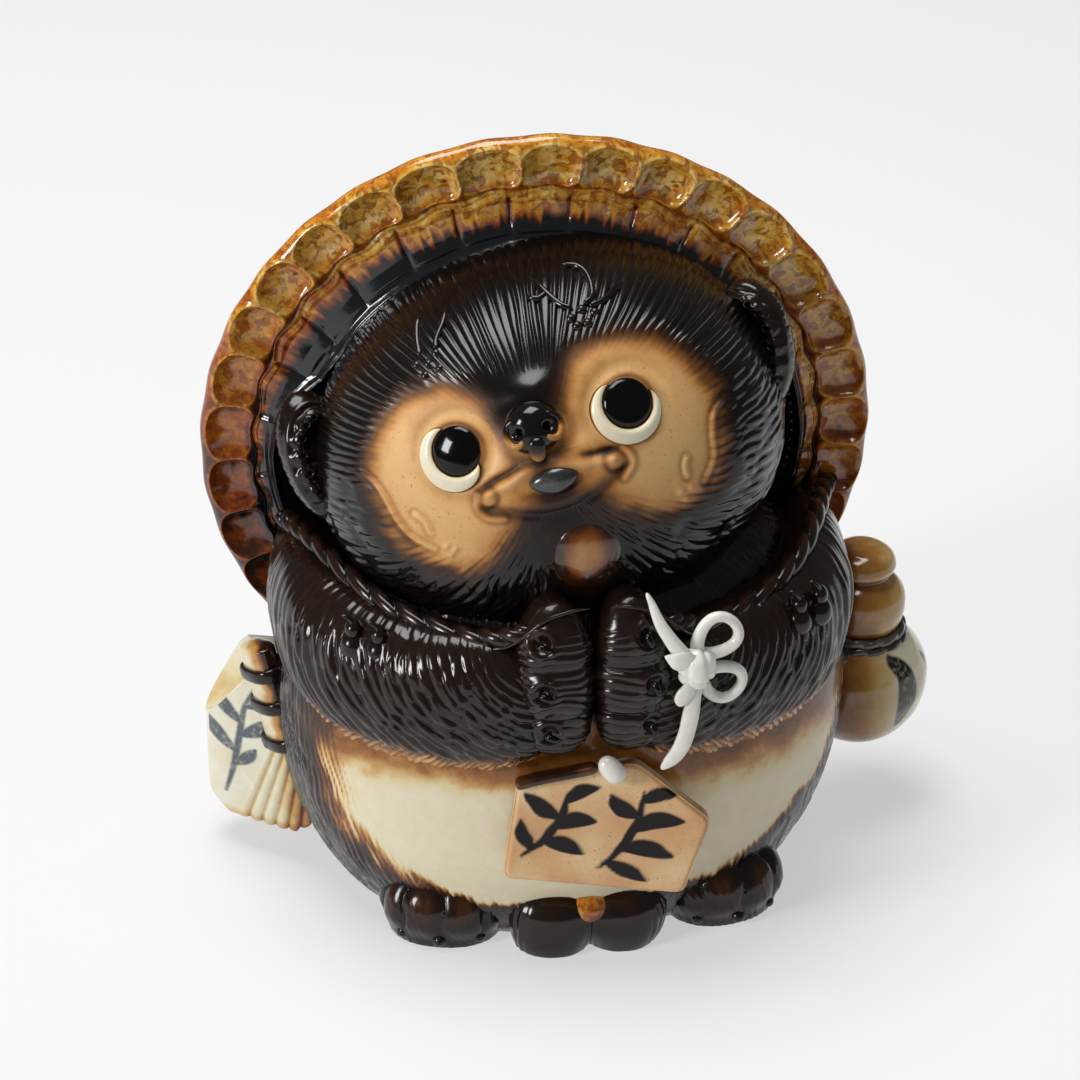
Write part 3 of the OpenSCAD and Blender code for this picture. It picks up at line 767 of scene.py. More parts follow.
def pouch_boss():
    grid, _, _ = egg([8.6, 8.6, 6.3, 6, 5.2, 6.2], (1, 1), 90, 60)
    out = facing(grid)
    grid = grid + out * (0.3 * cloud(grid, 4, 8))[..., None] + np.array([-0.7, -71.5, 15.2])
    tone = 0.66 + 0.16 * cloud(grid, 5, 3) - 0.25 * step(14, 10, grid[..., 2])
    return piece("pouch_boss_knob", [skin(grid, tone=tone)], HAT_GLAZE, ["pouch_boss"])


def tail():
    rows, n = 240, 260
    path = curve([(0, 66, 4), (0, 68, 12), (-2, 75, 26), (-6, 78, 46), (-12, 76, 66), (-18, 71, 84),
                  (-22, 66, 98), (-24, 62, 104)], rows)
    wide = values_along([6, 18, 25, 27, 25, 19, 11, 3], rows)
    high = values_along([4, 10, 14, 15, 14, 12, 8, 2], rows)
    grid = tube(path, wide, high, n, up=(0, 1, 0.2))
    grid = outward(path[:, None], grid)
    out = facing(grid)
    x, z = grid[..., 0], grid[..., 2]
    a = np.arctan2(grid[..., 1] - path[:, None, 1], x - path[:, None, 0])
    fur = comb(a * 20, -z + 6 * np.sin(a), 2.9, 19, seed=61)
    grid = grid + out * (0.9 * fur - 0.2)[..., None]
    grid[..., 2] = np.maximum(grid[..., 2], 0.3)
    grid[..., 1] = np.minimum(grid[..., 1], 104.5)
    tone = 0.12 + 0.07 * (fur - 0.4) + 0.25 * step(30, 8, z) * (0.5 + 0.5 * cloud(grid, 12, 3))
    return piece("tail_fur", [skin(grid, tone=tone)], DARK_GLAZE, ["tail"])


# Head. Places on the face are given across and up the head's own axes.

HEAD_C = np.array([-6.2, -15.0, 160.0])
HEAD_TURN = rot("Z", -8) @ rot("X", -20) @ rot("Y", -17)
HEAD_WIDE, HEAD_DEEP, HEAD_BACK, HEAD_TALL = 75, 62, 66, 62
HEAD_FORM = np.array([HEAD_WIDE, HEAD_DEEP, HEAD_TALL], float)
MASK = smoothed([
    (-3, 14.5), (-9.5, 17.5), (-12, 24.4), (-18, 30), (-28, 33.6), (-36, 33), (-44, 29.2), (-51.5, 21.8),
    (-56.5, 13), (-58, 3), (-56, -8), (-51.5, -18), (-43.5, -26), (-33, -28.8), (-22, -25.6), (-12, -19.5),
    (-5, -15.5), (3, -15.5), (9.5, -20.5), (14, -24.5), (24, -27.5), (34, -29.5), (45.5, -26), (52.4, -17),
    (56.3, -5), (56.3, 5.5), (51.2, 16.8), (44, 26), (33.8, 31.2), (23.6, 32.2), (13.4, 29.3), (8, 21.6),
    (3, 16.5),
], 140)
EYES = {-1: (-25.8, 10.9), 1: (27.5, 9.8)}
UPPER_LIP = curve([(-20.5, -4.0), (-12.7, -2.6), (-6.4, -0.2), (0.9, -0.4), (7.5, -2.8), (12.7, -4),
                   (18.2, -4.6)], 40)
LOWER_LIP = curve([(-20.4, -5.9), (-14.3, -7.9), (-7.9, -10.6), (1.0, -11.8), (9.2, -9.7), (15.6, -7.0),
                   (18.4, -5.4)], 40)
CURLS = [curve([(-24, -3.6), (-25, -8), (-22.4, -11.6), (-17.9, -12.9)], 20),
         curve([(22.6, -2.6), (24.2, -5.5), (23.6, -8.6), (20.6, -11.4)], 20)]
CREASES = [curve([(-7.5, 2.2), (-13, 0.4), (-19, -1.2), (-23.5, -3.6)], 24),
           curve([(9, -0.2), (14, -1.2), (18.5, -1.6), (22, -2.6)], 24)]
CORNERS_OF_MOUTH = [(-20.8, -5.2), (19.2, -5.2)]
VEINS = [
    curve([(-63, 11.5), (-56.8, 10.4), (-52.9, 4.2), (-50.6, -5.3), (-47.8, -11.7), (-42, -17.4)], 40),
    curve([(-44.6, -4.9), (-42.2, -7.9), (-41.4, -12.0)], 16),
    curve([(56.4, 0.8), (51.9, -2.5), (49.7, -8.3), (48, -15.5), (43.4, -21.5)], 40),
    curve([(40.2, -12.1), (38.9, -14.6), (38.6, -18)], 16),
]
SEEDS = [(35.5, -22.2), (38.9, -22.1), (36.4, -25.2), (-37.9, -17.3), (-35.6, -18.8), (-37.4, -20.2)]


def from_head(p):
    return np.asarray(p, float) @ HEAD_TURN.T + HEAD_C


def on_head(x, z, lift=0.0):
    """Point on the head's front in its own axes."""
    grow = 1 + lift / 64
    depth = math.sqrt(max(1 - (x / HEAD_WIDE / grow) ** 2 - (z / HEAD_TALL / grow) ** 2, 0.02))
    return np.array([x, -HEAD_DEEP * grow * depth, z])


def throat_share(x, z):
    """1 on the smooth glazed throat under the mouth, 0 away from it."""
    return bell(x / 15, 1.0) * step(-12, -17, z)


def face_height(x, z):
    """Relief of the bare face above the egg: sockets, muzzle, lips, smile lines, leaf veins and seeds."""
    h = 3.6 * bell(np.hypot(x / 17, (z + 4) / 12), 1.0)
    for ex, ez in EYES.values():
        r = np.hypot(x - ex, z - ez)
        h = h - 0.8 * bell(r - 11.0, 2.4)
    for line in VEINS:
        d, t = to_line(x, z, line)
        h = h + 0.6 * bell(d, 0.6) * step(0, 0.1, t) * step(1.02, 0.85, t) - 0.25 * bell(d - 1.3, 0.6)
    for sx, sz in SEEDS:
        h = h + 0.9 * bell(np.hypot(x - sx, z - sz), 1.1)
    upper, _ = to_line(x, z, UPPER_LIP)
    lower, _ = to_line(x, z, LOWER_LIP)
    h = h + 1.1 * bell(upper, 1.7) + 1.0 * bell(lower, 2.4)
    h = h - 2.6 * bell(np.hypot((x - 0.2) / 8.2, (z + 5.0) / 3.4), 0.9)
    for line in CREASES:
        d, t = to_line(x, z, line)
        h = h - 1.2 * (bell(d, 1.1) * np.sin(np.pi * np.clip(t, 0.02, 0.98)))
    h = h - 0.8 * bell(lower - 3.8, 1.5) * step(-6, -9, z)
    for line, (cx, cz) in zip(CURLS, CORNERS_OF_MOUTH):
        d, _ = to_line(x, z, line)
        r = np.hypot(x - cx, z - cz)
        h = h + 0.7 * bell(d, 1.0) - 0.6 * bell(r - 3.3, 0.9)
    return h


def face_tone(x, z):
    """Colour of the bare face, from tan to brown, with the creases darker, and painted shade in the eye
    sockets and under the lower lip.
    """
    tone = 0.8 + 0.0 * x
    upper, _ = to_line(x, z, UPPER_LIP)
    lower, _ = to_line(x, z, LOWER_LIP)
    middle = bell(np.hypot(x / 12, (z + 20) / 7.5), 1.0)
    # Painted shade: the term with lower - 3.6 darkens the face just under the lower lip
    tone = tone - 0.5 * middle - 0.16 * bell(lower - 3.6, 2.2) * step(-6, -9, z)
    tone = tone - 0.12 * step(9, 4, np.minimum(upper, lower))
    tone = tone - 0.16 * bell(np.hypot(x / 14, (z + 10) / 6), 1.0)
    tone = tone + 0.07 * bell(upper, 1.0) + 0.02 * bell(lower, 1.4)
    for line in CREASES:
        d, t = to_line(x, z, line)
        tone = tone - 0.36 * bell(d, 1.2) * np.sin(np.pi * np.clip(t, 0.02, 0.98)) ** 0.5
    for ex, ez in EYES.values():
        r = np.hypot(x - ex, z - ez)
        left = step(6, -8, x - ex)
        # Painted shade in each eye's socket, deeper on the -x side of the eye
        tone = tone - (0.03 + 0.07 * left) * bell(r - 14.0, 2.2)
        tone = tone - 0.3 * bell(r - 8.2, 1.1) + 0.06 * bell(r - 11.8, 1.0)
    for cx, cz in CORNERS_OF_MOUTH:
        r = np.hypot(x - cx, z - cz)
        inner = step(3.0, -1.5, (z - cz) * 0.6 + np.abs(x) - np.abs(cx) - 1.0)
        tone = tone - 0.2 * bell(r - 3.3, 1.0) * inner
    for line in CURLS + VEINS:
        d, _ = to_line(x, z, line)
        tone = tone + 0.05 * bell(d, 0.8) - 0.12 * bell(d - 1.5, 0.8)
    nose_r = np.hypot((x + 1.5) / 10.8, (z - 11) / 10)
    tone = tone - 0.2 * bell(nose_r - 1.0, 0.25) - 0.25 * bell(np.hypot((x + 2.0) / 3, (z - 1.5) / 4), 1.0)
    return tone


def head():
    """Fur and bare face in one skin; rows run from the tip of the face to the back of the head."""
    columns = 900
    strokes = 134
    tilt = np.radians(np.concatenate([np.linspace(0.6, 112, 202), np.linspace(114, 176, 14)]))[:, None]
    turn = circle(columns) - np.pi / 2
    out_y = -spow(np.cos(tilt), 0.96)
    ring = spow(np.sin(tilt), 0.96)
    x = HEAD_WIDE * ring * spow(np.cos(turn), 0.98)
    z = HEAD_TALL * ring * spow(np.sin(turn), 0.98)
    y = np.where(out_y < 0, HEAD_DEEP, HEAD_BACK) * out_y + 0 * x
    grid = np.stack([x, y, z], -1)
    out = facing(grid)
    if (out[..., 1] * grid[..., 1]).sum() < 0:
        out = -out
    front = y < 12
    d = np.where(front, inside(x, z, MASK), -60)
    degrees = np.degrees(tilt) + 0 * x
    round_at = (turn + np.pi / 2) / (2 * np.pi)
    sweep = round_at - 0.055 * np.radians(degrees - 48) * np.cos(turn) * step(0.6, -0.5, np.sin(turn))
    long = grooves(sweep * strokes, degrees * 1.08, strokes, seed=70)
    short = comb(sweep * 2 * np.pi * 66, degrees * 1.08 - 4, 4.4, 18, seed=72, flat=2.8)
    crown = step(-0.1, 0.45, np.sin(turn))
    fur = mix(short, long, crown)
    ragged = step(22, -8, z)
    edge = d + (0.7 + 3.0 * ragged) * (fur - 0.45) + 0.9 * cloud(grid, 6, 75)
    bare = step(-2.5, 3.5, edge)
    tame = mix(step(16, 27, degrees), step(24, 44, degrees), crown)
    throat = throat_share(x, z)
    shag = 1.2 * fur * tame * (1 - 0.95 * throat)
    folds = throat * (0.9 * bell(np.abs(x) - 11.5, 1.6) + 0.7 * cloud(grid, 6, 82))
    height = (1 - bare) * (shag + folds + 0.25) + bare * face_height(x, z)
    height = height + 0.3 * (1 - bare) * cloud(grid, 20, 76)
    height = height + 1.7 * bell(np.hypot(x / 8, (z - 21.5) / 5), 1.0)
    points = grid + out * np.where(front, height, 0.5 * fur)[..., None]
    spray = step(-3.5, 7.5, edge)
    tone = mix(0.08, face_tone(x, z), spray) + 0.05 * step(10, 20, d) + 0.04 * cloud(grid, 11, 77)
    tone = tone + 0.03 * (fur - 0.4) * (1 - bare) - 0.1 * bell(d - 4, 4) * bare
    tone = np.where(front, mix(tone, 0.2 + 0.05 * cloud(grid, 6, 79), throat * 0.9), 0.08)
    dim = np.where(front, np.maximum(0.9 * step(42, 57, z), 0.6 * throat), 0.9)
    gloss = np.where(front, np.clip(0.85 * (1 - step(-2, 5, edge)) + 0.75 * throat, 0, 1), 0.7)
    parts = [skin(from_head(points), tone=np.clip(tone, 0, 1), gloss=gloss, dim=dim)]
    return piece("head_fur_and_face", parts, FACE, ["head_shell", "face_mask"])


def lips():
    """The muzzle with its two lips and curled corners, as a fine patch let into the face."""
    a = circle(420)
    s = np.concatenate([np.linspace(0.004, 0.93, 150), np.linspace(0.94, 1.0, 8)])[:, None]
    x = 28.5 * s * spow(np.cos(a), 0.85) - 0.5
    z = 8.6 * s * spow(np.sin(a), 0.85) * (1 + 0.3 * np.abs(np.cos(a))) - 5.4 - 1.2 * (x / 28) ** 2
    base = np.stack([x, -HEAD_DEEP * np.sqrt(1 - (x / HEAD_WIDE) ** 2 - (z / HEAD_TALL) ** 2), z], -1)
    out = unit(base / HEAD_FORM**2)
    sink = 0.16 - 1.3 * step(0.93, 1.0, s)
    grid = base + out * (face_height(x, z) + sink)[..., None]
    throat = throat_share(x, z)
    tone = face_tone(x, z) + 0.04 * cloud(base, 11, 77) - 0.1 * bell(inside(x, z, MASK) - 4, 4)
    tone = mix(tone, 0.2, 0.9 * throat)
    return piece("muzzle_and_lips", [skin(from_head(grid), tone=np.clip(tone, 0, 1), gloss=0.75 * throat)],
                 FACE, ["lips"])


def at_face(p, x, z, lift=0.0, tip=0.0, spin=0.0):
    """Points modelled facing -y, put at a spot on the face and square to it."""
    q = on_head(x, z)
    normal = unit(q / HEAD_FORM**2)
    yaw = math.degrees(math.atan2(normal[0], -normal[1]))
    pitch = math.degrees(math.asin(normal[2]))
    turn = rot("Z", yaw) @ rot("X", -pitch + tip) @ rot("Y", spin)
    return from_head(np.asarray(p) @ turn.T + q + normal * lift)


def eye_ring(side):
    """A crescent of thick cream glaze that cups the pupil, open above."""
    ex, ez = EYES[side]
    first, last, fat = (112, 318, 5.6) if side < 0 else (118, 372, 5.0)
    a = np.linspace(first, last, 150)[:, None]
    t = (a - first) / (last - first)
    across = np.linspace(-1, 1, 40)[None, :]
    swell = np.clip(np.sin(np.pi * t), 0, 1)
    width = fat * swell**0.55 + 0.3
    r = 7.7 + width * (across + 1) / 2
    rise = np.sqrt(np.clip(1 - np.abs(across) ** 2.6, 0, 1)) * (0.9 + 0.7 * swell) - 0.35
    rad = np.radians(a)
    bowl = -2.0 * step(9, 14.5, r)
    grid = np.stack([r * np.cos(rad), -(rise + 0.6 + bowl), r * np.sin(rad)], -1)
    edge = np.clip(1 - np.abs(across), 0, 1) * width / 2
    tone = 0.3 + 0.68 * step(0.0, 0.7, edge) + 0.03 * cloud(grid, 2, 81)
    tone = tone - 0.2 * step(0.12, 0.0, np.minimum(t, 1 - t))
    parts = [skin(at_face(grid, ex, ez)[::-1], closed=False, ends=False, tone=tone[::-1])]
    name = f"{hand(side)}_eye_crescent"
    return piece(name, parts, BELLY_GLAZE, [f"{hand(side)}_eye_ring"])


def pupil(side):
    """A low black dome with rounded edges."""
    ex, ez = EYES[side]
    a = circle(110)
    edge = 1 - 0.14 * (1 - np.linspace(0, 1, 18)[1:]) ** 2
    s = np.concatenate([np.linspace(0.01, 0.86, 40), edge, [1.0]])[:, None]
    y = -2.1 * (1 - 0.7 * s**2)
    y = y - 0.9 * np.sqrt(np.clip(1 - (np.clip(s - 0.8, 0, 1) / 0.2) ** 2, 0, 1)) + 0.4
    y = y + 2.5 * (np.arange(len(s))[:, None] == len(s) - 1)
    grid = joined(7.7 * s * np.cos(a), y, 7.7 * s * np.sin(a))
    tone = 0.9 * step(0.95, 1.0, s) + 0 * a
    parts = [skin(at_face(grid, ex, ez, 0.5), tone=tone)]
    return piece(f"{hand(side)}_pupil_dome", parts, BLACK_GLAZE, [f"{hand(side)}_pupil"])


def on_nose(p):
    return at_face(p, -1.5, 11.2, 0.0, spin=2)


def nose():
    """A glossy ball with two nostrils, each under a wing that runs from black to tan."""
    grid, _, _ = egg([8.6, 8.6, 7.6, 7, 8.0, 8.6], (0.95, 0.95), 220, 160)
    out = facing(grid)
    x, y, z = grid[..., 0], grid[..., 1], grid[..., 2]
    front = step(1, -2.5, y)
    h = 0.6 * bell(np.hypot(x / 6.0, (z - 4.6) / 3.2), 1.0)
    tone = 0.08 + 0.34 * step(5.5, 8.0, np.hypot(x, 0.6 * z)) * step(2.5, -2, z) + 0.3 * step(-4.5, -8, z)
    for s in (-1, 1):
        r = np.hypot((x - 5.0 * s) / 1.15, z + 0.6)
        h = h - 3.0 * bell(r, 1.25)
        tone = tone - 0.3 * bell(r, 1.8)
    grid = grid + out * (h * front)[..., None]
    parts = [skin(on_nose(grid), tone=np.clip(tone, 0, 1), gloss=1.0)]
    for s in (-1, 1):
        a = np.radians(np.linspace(112, -165, 90))
        t = np.linspace(0, 1, 90)
        r = mix(3.6, 2.0, step(0.6, 1.0, t))
        sx, sz = 5.0 * s + r * np.cos(a) * s, -0.7 + r * np.sin(a) * 1.1
        sy = -6.7 + 0.1 * (sx**2 + sz**2) / 2 + 1.0 * step(0.75, 1.0, t)
        path = np.stack([sx, sy, sz], -1)
        thick = 1.1 * tapered(90, 0.25, 0.35, 0.1)
        coil = tube(path, thick, thick * 1.1, 20, up=(0, -1, 0))
        pale = 0.1 + 0.5 * step(0.2, 0.5, t)
        shine = 1 - 0.6 * step(0.3, 0.6, pale)
        parts.append(skin(on_nose(coil), tone=pale[:, None], gloss=shine[:, None]))
    thick = tapered(40, 0.3, 0.5)
    path = curve([(0, -7.0, -3), (0, -6.6, -5.5), (-0.3, -5.0, -8), (-0.5, -3.2, -10.2)], 40)
    septum = tube(path, 2.6 * thick, 1.5 * thick, 30, up=(0, 1, 0))
    fall = np.linspace(0, 1, 40)[:, None]
    parts.append(skin(on_nose(septum), tone=0.1 + 0.5 * step(0.2, 0.9, fall), gloss=0.9 - 0.6 * fall))
    return piece("nose_ball", parts, FACE, ["nose"])


def mouth():
    grid, _, _ = egg([7.6, 7.6, 3.6, 3, 4.7, 4.2], (1, 1), 110, 70)
    x, z = grid[..., 0], grid[..., 2]
    grid[..., 2] = z * (1 - 0.3 * np.abs(x / 7.7) ** 2)
    # Painted highlight: the mouth is made lighter grey in its middle
    tone = 0.3 + 0.35 * bell(np.hypot((x + 1.5) / 4, z / 2.0), 1.0)
    parts = [skin(at_face(grid, -0.1, -4.8, 2.0, tip=2, spin=4), tone=tone)]
    return piece("mouth_opening", parts, GREY_GLAZE, ["mouth"])


def chin():
    grid, _, _ = egg([12, 12, 6.8, 8, 15, 12], (1, 1), 150, 110)
    x, z = grid[..., 0], grid[..., 2]
    r = np.hypot(x / 9.6, (z - 1.5) / 11.5)
    tone = 0.54 - 0.42 * step(0.2, 0.98, r) + 0.06 * cloud(grid, 7, 90)
    grid = grid @ rot("X", 29).T + [2.2, -51.0, -30.4]
    parts = [skin(from_head(grid), tone=np.clip(tone, 0, 1), ink=0)]
    return piece("chin_knob_amber", parts, FLASK, ["chin_knob"])


def ear(side):
    """Rounded ear: a smooth outer roll, a hollow, and a row of crimped curls along it."""
    tall = 21 if side > 0 else 24
    grid, _, _ = egg([13, 13, 8, 11, 21, tall], (1, 1), 340, 260)
    out = facing(grid)
    x, y, z = grid[..., 0], grid[..., 1], grid[..., 2]
    front = step(1.5, -2.5, y)
    z = z * np.where(z < 0, 21 / tall, 1)
    r = np.hypot(x / 13, z / 21)
    angle = np.degrees(np.arctan2(z / 21, x * side / 13))
    h = -3.4 * step(0.8, 0.5, r) + 0.7 * bell(r - 0.95, 0.06)
    for k in range(9):
        at = math.radians(-92 + 23 * k)
        bx, bz = 13 * 0.66 * math.cos(at) * side, 21 * 0.72 * math.sin(at)
        near = np.hypot((x - bx) * 0.85, z - bz)
        h = h + 2.3 * bell(near, 1.9) - 2.2 * bell(near, 0.7) + 0.4 * bell(near - 2.4, 0.6)
    fur = comb(angle * 0.3, r * 20, 2.2, 9, seed=95)
    grid = grid + out * (front * h + (1 - front) * 0.5 * fur)[..., None]
    grid = grid @ (rot("Z", -28 * side) @ rot("Y", 8 * side)).T + [70.0 * side, -8, 11 - 2 * side]
    tone = 0.09 + 0.05 * step(0, 2, h) + 0 * x
    parts = [skin(from_head(grid), tone=tone)]
    return piece(f"{hand(side)}_ear_curl", parts, DARK_GLAZE, [f"{hand(side)}_ear"])


def brow_sprigs():
    """Berries and bare twigs pressed on to the forehead."""
    berries = [
        (-23.9, 39.5), (-30.7, 37.6), (-27, 37.2), (-23.8, 35.2), (-28.8, 34.2), (22.4, 39.5), (26, 37.6),
        (18.6, 38.1), (19.8, 35.6), (23, 35.4),
    ]
    twigs = [
        [(-23.5, 41), (-22.6, 43.5), (-19.3, 47.6), (-17.3, 51.2)],
        [(-29, 40), (-28.6, 44.6), (-27.5, 48.5), (-26.1, 50.6)],
        [(20, 41), (16.9, 42.9), (13.6, 47.2), (10.1, 52.7)],
        [(25, 40), (30.2, 40.4), (34, 42.3), (36.9, 43.2)],
        [(23.5, 41), (26.8, 42.5), (27.2, 47.2), (25.2, 51), (20.2, 53.5)],
        [(13.6, 47.2), (10.5, 46.5), (7.5, 48)],
    ]
    parts = []
    for x, z in berries:
        parts.append(skin(ball(from_head(on_head(x, z, 1.0)), 1.75, 26, 16), tone=0.2, gloss=1.0))
    for line in twigs:
        path = from_head(np.array([on_head(x, z, 1.9) for x, z in curve(line, 40)]))
        thick = tapered(40, 0.1, 0.3, 0.1)
        parts.append(skin(tube(path, 1.1 * thick, 0.9 * thick, 14, up=(0, -1, 0.2)), tone=0.13, gloss=1.0))
    return piece("brow_berry_sprigs", parts, FACE, ["brow_sprigs"])


# Hat: a rim of dimples, a band of panels, and the crown behind

HAT_C = np.array([-6.3, 14.0, 145.7])
HAT_TURN = rot("Z", -2.5) @ rot("X", 4)
PRESSES = 33
PANELS = 28
CREASE = 160.0


def from_hat(r, y, theta):
    """Point of the hat at a radius, a depth and an angle in degrees from +x towards +z."""
    a = np.radians(theta)
    p = joined(r * np.cos(a), y, r * np.sin(a))
    return p @ HAT_TURN.T + HAT_C


def side_shade(theta):
    """Painted shade: darker low on both sides of the hat."""
    a = np.radians(theta)
    return step(0.15, -0.75, np.sin(a))


def ridge_radius(theta):
    """Where the hat's inner ridge runs: close round the crown, and outside both ears."""
    at = [-180, -160, -120, -60, 0, 20, 32, 45, 53, 62, 72, 84, 100, 113, 130, 140, 150, 158, 163, 169,
          176, 180]
    r = [86.4, 86, 84, 84, 86, 85, 83, 79.7, 77.7, 76.3, 75.5, 74.9, 74.4, 73.6, 74.1, 74.2, 73.8, 75.4,
         79.6, 84, 85.8, 86.4]
    return np.interp((theta + 180) % 360 - 180, at, r)


def hat_rim():
    """The outer roll with its ring of thumb-pressed bowls, carried round to the back edge."""
    rows = curve([
        (93.2, 1.0), (91.6, -1.2), (92.0, -3.2), (93.8, -4.9), (97, -5.9), (100.5, -6.4), (104, -6.4),
        (106.8, -5.8), (108.6, -4.3), (109.2, -2.2), (108.4, 0.2), (105.6, 2.6), (101, 5.6), (95, 10.2),
    ], 124)
    n = 1400
    theta = (np.arange(n) * 360 / n)[None, :]
    r, y = rows[:, :1], rows[:, 1:]
    cell = (theta - 88.5) / 360 * PRESSES + 0.07 * np.sin(np.radians(theta * 5))
    k = np.floor(cell + 0.5).astype(int) % PRESSES
    g = cell + 0.5 - np.floor(cell + 0.5) - 0.5
    own = hashed(k, seed=101)
    other = hashed(k, seed=102)
    u = -g * 2 * np.pi * 100 / PRESSES / 9.4
    w = (r - (100.4 + 0.9 * (other - 0.5))) / (7.3 + 0.4 * other)
    front = step(3.0, -2.0, y)
    d = (np.abs(u) ** 2.7 + np.abs(w) ** 2.7) ** (1 / 2.7)
    steep = 1.9 + 3.2 * step(-0.1, 0.9, u)
    bowl = np.clip(1 - np.clip(d, 0, 1) ** steep, 0, 1) ** 0.85
    rib = bell(d - 1.06, 0.07)
    depth = (3.0 + 1.1 * own) * bowl - 0.4 * rib * step(-0.9, 0.6, u - 0.5 * w)
    rim_wave = np.cos(g * 2 * np.pi)
    spot = from_hat(r, y, theta)
    roll = 0.5 * cloud(spot, 16, 103)
    r2 = r + 0.25 * rim_wave * step(104, 108.5, r) + 0.9 * rim_wave * step(97, 92, r) * step(3, -1, y)
    grid = from_hat(r2 + 0.3 * roll, y + front * depth + 0.3 * roll * step(-6, 0, y), theta)
    a = np.radians(theta)
    # top marks the top of the rim, where painted light goes; it also lessens the dark inside the bowls
    # there
    top = step(0.0, 0.9, np.sin(a) - 0.25 * np.cos(a) * (np.cos(a) < 0))
    # shade is painted shade, darker low on both sides
    shade = step(0.35, -0.6, np.sin(a) + 0.15 * np.cos(a))
    mottle = clouds(spot + own[..., None] * 40, 8, 104)
    # Painted light: 0.18 * top lightens the rim across its top
    tone = 0.71 + 0.18 * top - 0.2 * step(0.98, 1.2, d) * front + 0.12 * rib * front
    tone = tone - 0.08 * bell(d - 0.8, 0.2) * front * (0.2 + 1.3 * other) + 0.1 * mottle
    tone = tone - 0.17 * step(0.3, 0.9, u) * bell(d - 0.75, 0.25) * front * (1 - 0.5 * top)
    # Painted shade: darker low on both sides and darker again on the -x side; the back edge below also
    # takes painted shade
    tone = tone - 0.28 * shade - 0.09 * step(-0.3, -0.95, np.cos(a))
    tone = tone - 0.3 * step(-2.6, 0.6, y) * step(107.6, 108.6, r) - 0.24 * step(95.6, 93.2, r) * front
    tone = mix(tone, 0.46 + 0.12 * mottle - 0.2 * shade, step(1.5, 5, y))
    pit = bell(np.hypot(u - 0.55, w + 0.1) * 8.0, 0.7) * (own > 0.5) * front
    tone = tone - 0.6 * pit
    return piece("hat_rim_bowls", [skin(grid[:, ::-1], ends=False, tone=np.clip(tone, 0, 1)[:, ::-1])],
                 HAT_GLAZE, ["hat_rim"])


def hat_band():
    """Panels parted by creases, running down from a thin wavy crest to the ridge round the head."""
    t = np.linspace(0, 1, 132)[:, None]
    n = 1400
    theta = (np.arange(n) * 360 / n)[None, :]
    inner = ridge_radius(theta)
    crest_r = 90.0 + 1.3 * np.abs(np.cos(np.radians(theta))) ** 2
    stops = np.array([0.0, 0.03, 0.06, 0.1, 0.2, 0.45, 0.66, 0.74, 0.8, 0.86, 0.92, 1.0])
    share = np.interp(t, stops, [-0.28, -0.16, -0.05, 0.05, 0.2, 0.55, 0.82, 0.9, 0.97, 1.05, 1.16, 1.6])
    y_at = np.interp(t, stops, [1.0, -2.4, -3.9, -3.5, -3.3, -4.7, -6.6, -7.7, -9.2, -9.9, -9.2, -3.0])
    r = crest_r + (inner - crest_r) * np.minimum(share, 1.0) - 5.0 * np.clip(share - 1, 0, 1)
    y = y_at + 0 * theta
    wander = 0.07 * np.sin(np.radians(theta * 7))
    wander = wander + 0.12 * (share - 0.5) * np.sin(np.radians(theta * 2 + 20))
    cell = (theta - CREASE) / 360 * PANELS + wander
    k = np.floor(cell).astype(int) % PANELS
    g = 2 * (cell - np.floor(cell)) - 1
    side = np.abs(g)
    own = hashed(k, seed=111)
    across = step(0.02, 0.12, share) * step(0.95, 0.75, share)
    puff = (1 - side**3) * 0.8 * across
    line = bell((1 - side) * 9.5, 0.6)
    crease = line * 0.6 * step(0.0, 0.1, share) * step(0.85, 0.5, share)
    wave = 0.9 * np.cos((theta - 88.5) / 360 * PRESSES * 2 * np.pi)
    r = r + wave * bell(share, 0.28)
    spot = from_hat(r, y, theta)
    grid = from_hat(r, y - puff + crease + 0.15 * cloud(spot, 9, 112), theta)
    flame = clouds(joined(theta * 2.4, share * 2.2, own * 9), 3.0, 113)
    teeth = cloud(joined(theta * 2.6, share * 0.8), 2.2, 114)
    a = np.radians(theta)
    # shade is painted shade, darker low on both sides
    shade = step(0.45, -0.5, np.sin(a) + 0.15 * np.cos(a))
    reach = -0.07 * step(0.3, 0.9, np.sin(a)) - 0.16 * step(-0.2, -0.8, np.cos(a))
    lit = step(0.76, 0.4, share - reach + 0.13 * teeth + 0.08 * flame)
    tone = 0.03 + (0.75 + 0.3 * flame + 0.08 * (own - 0.5)) * lit
    tone = tone - 0.3 * bell((1 - side) * 9.5, 0.9) * lit * step(0.02, 0.1, share)
    # Painted shade: the amber is darker low on both sides and darker again on the -x side
    tone = tone - (0.34 * shade + 0.22 * step(-0.3, -0.95, np.cos(a))) * lit
    tone = tone + 0.08 * bell(share - 0.02, 0.05) - 0.3 * step(-0.06, -0.16, share)
    parts = [skin(grid, ends=False, tone=np.clip(tone, 0, 1))]
    return piece("hat_panel_band", parts, HAT_GLAZE, ["hat_band"])


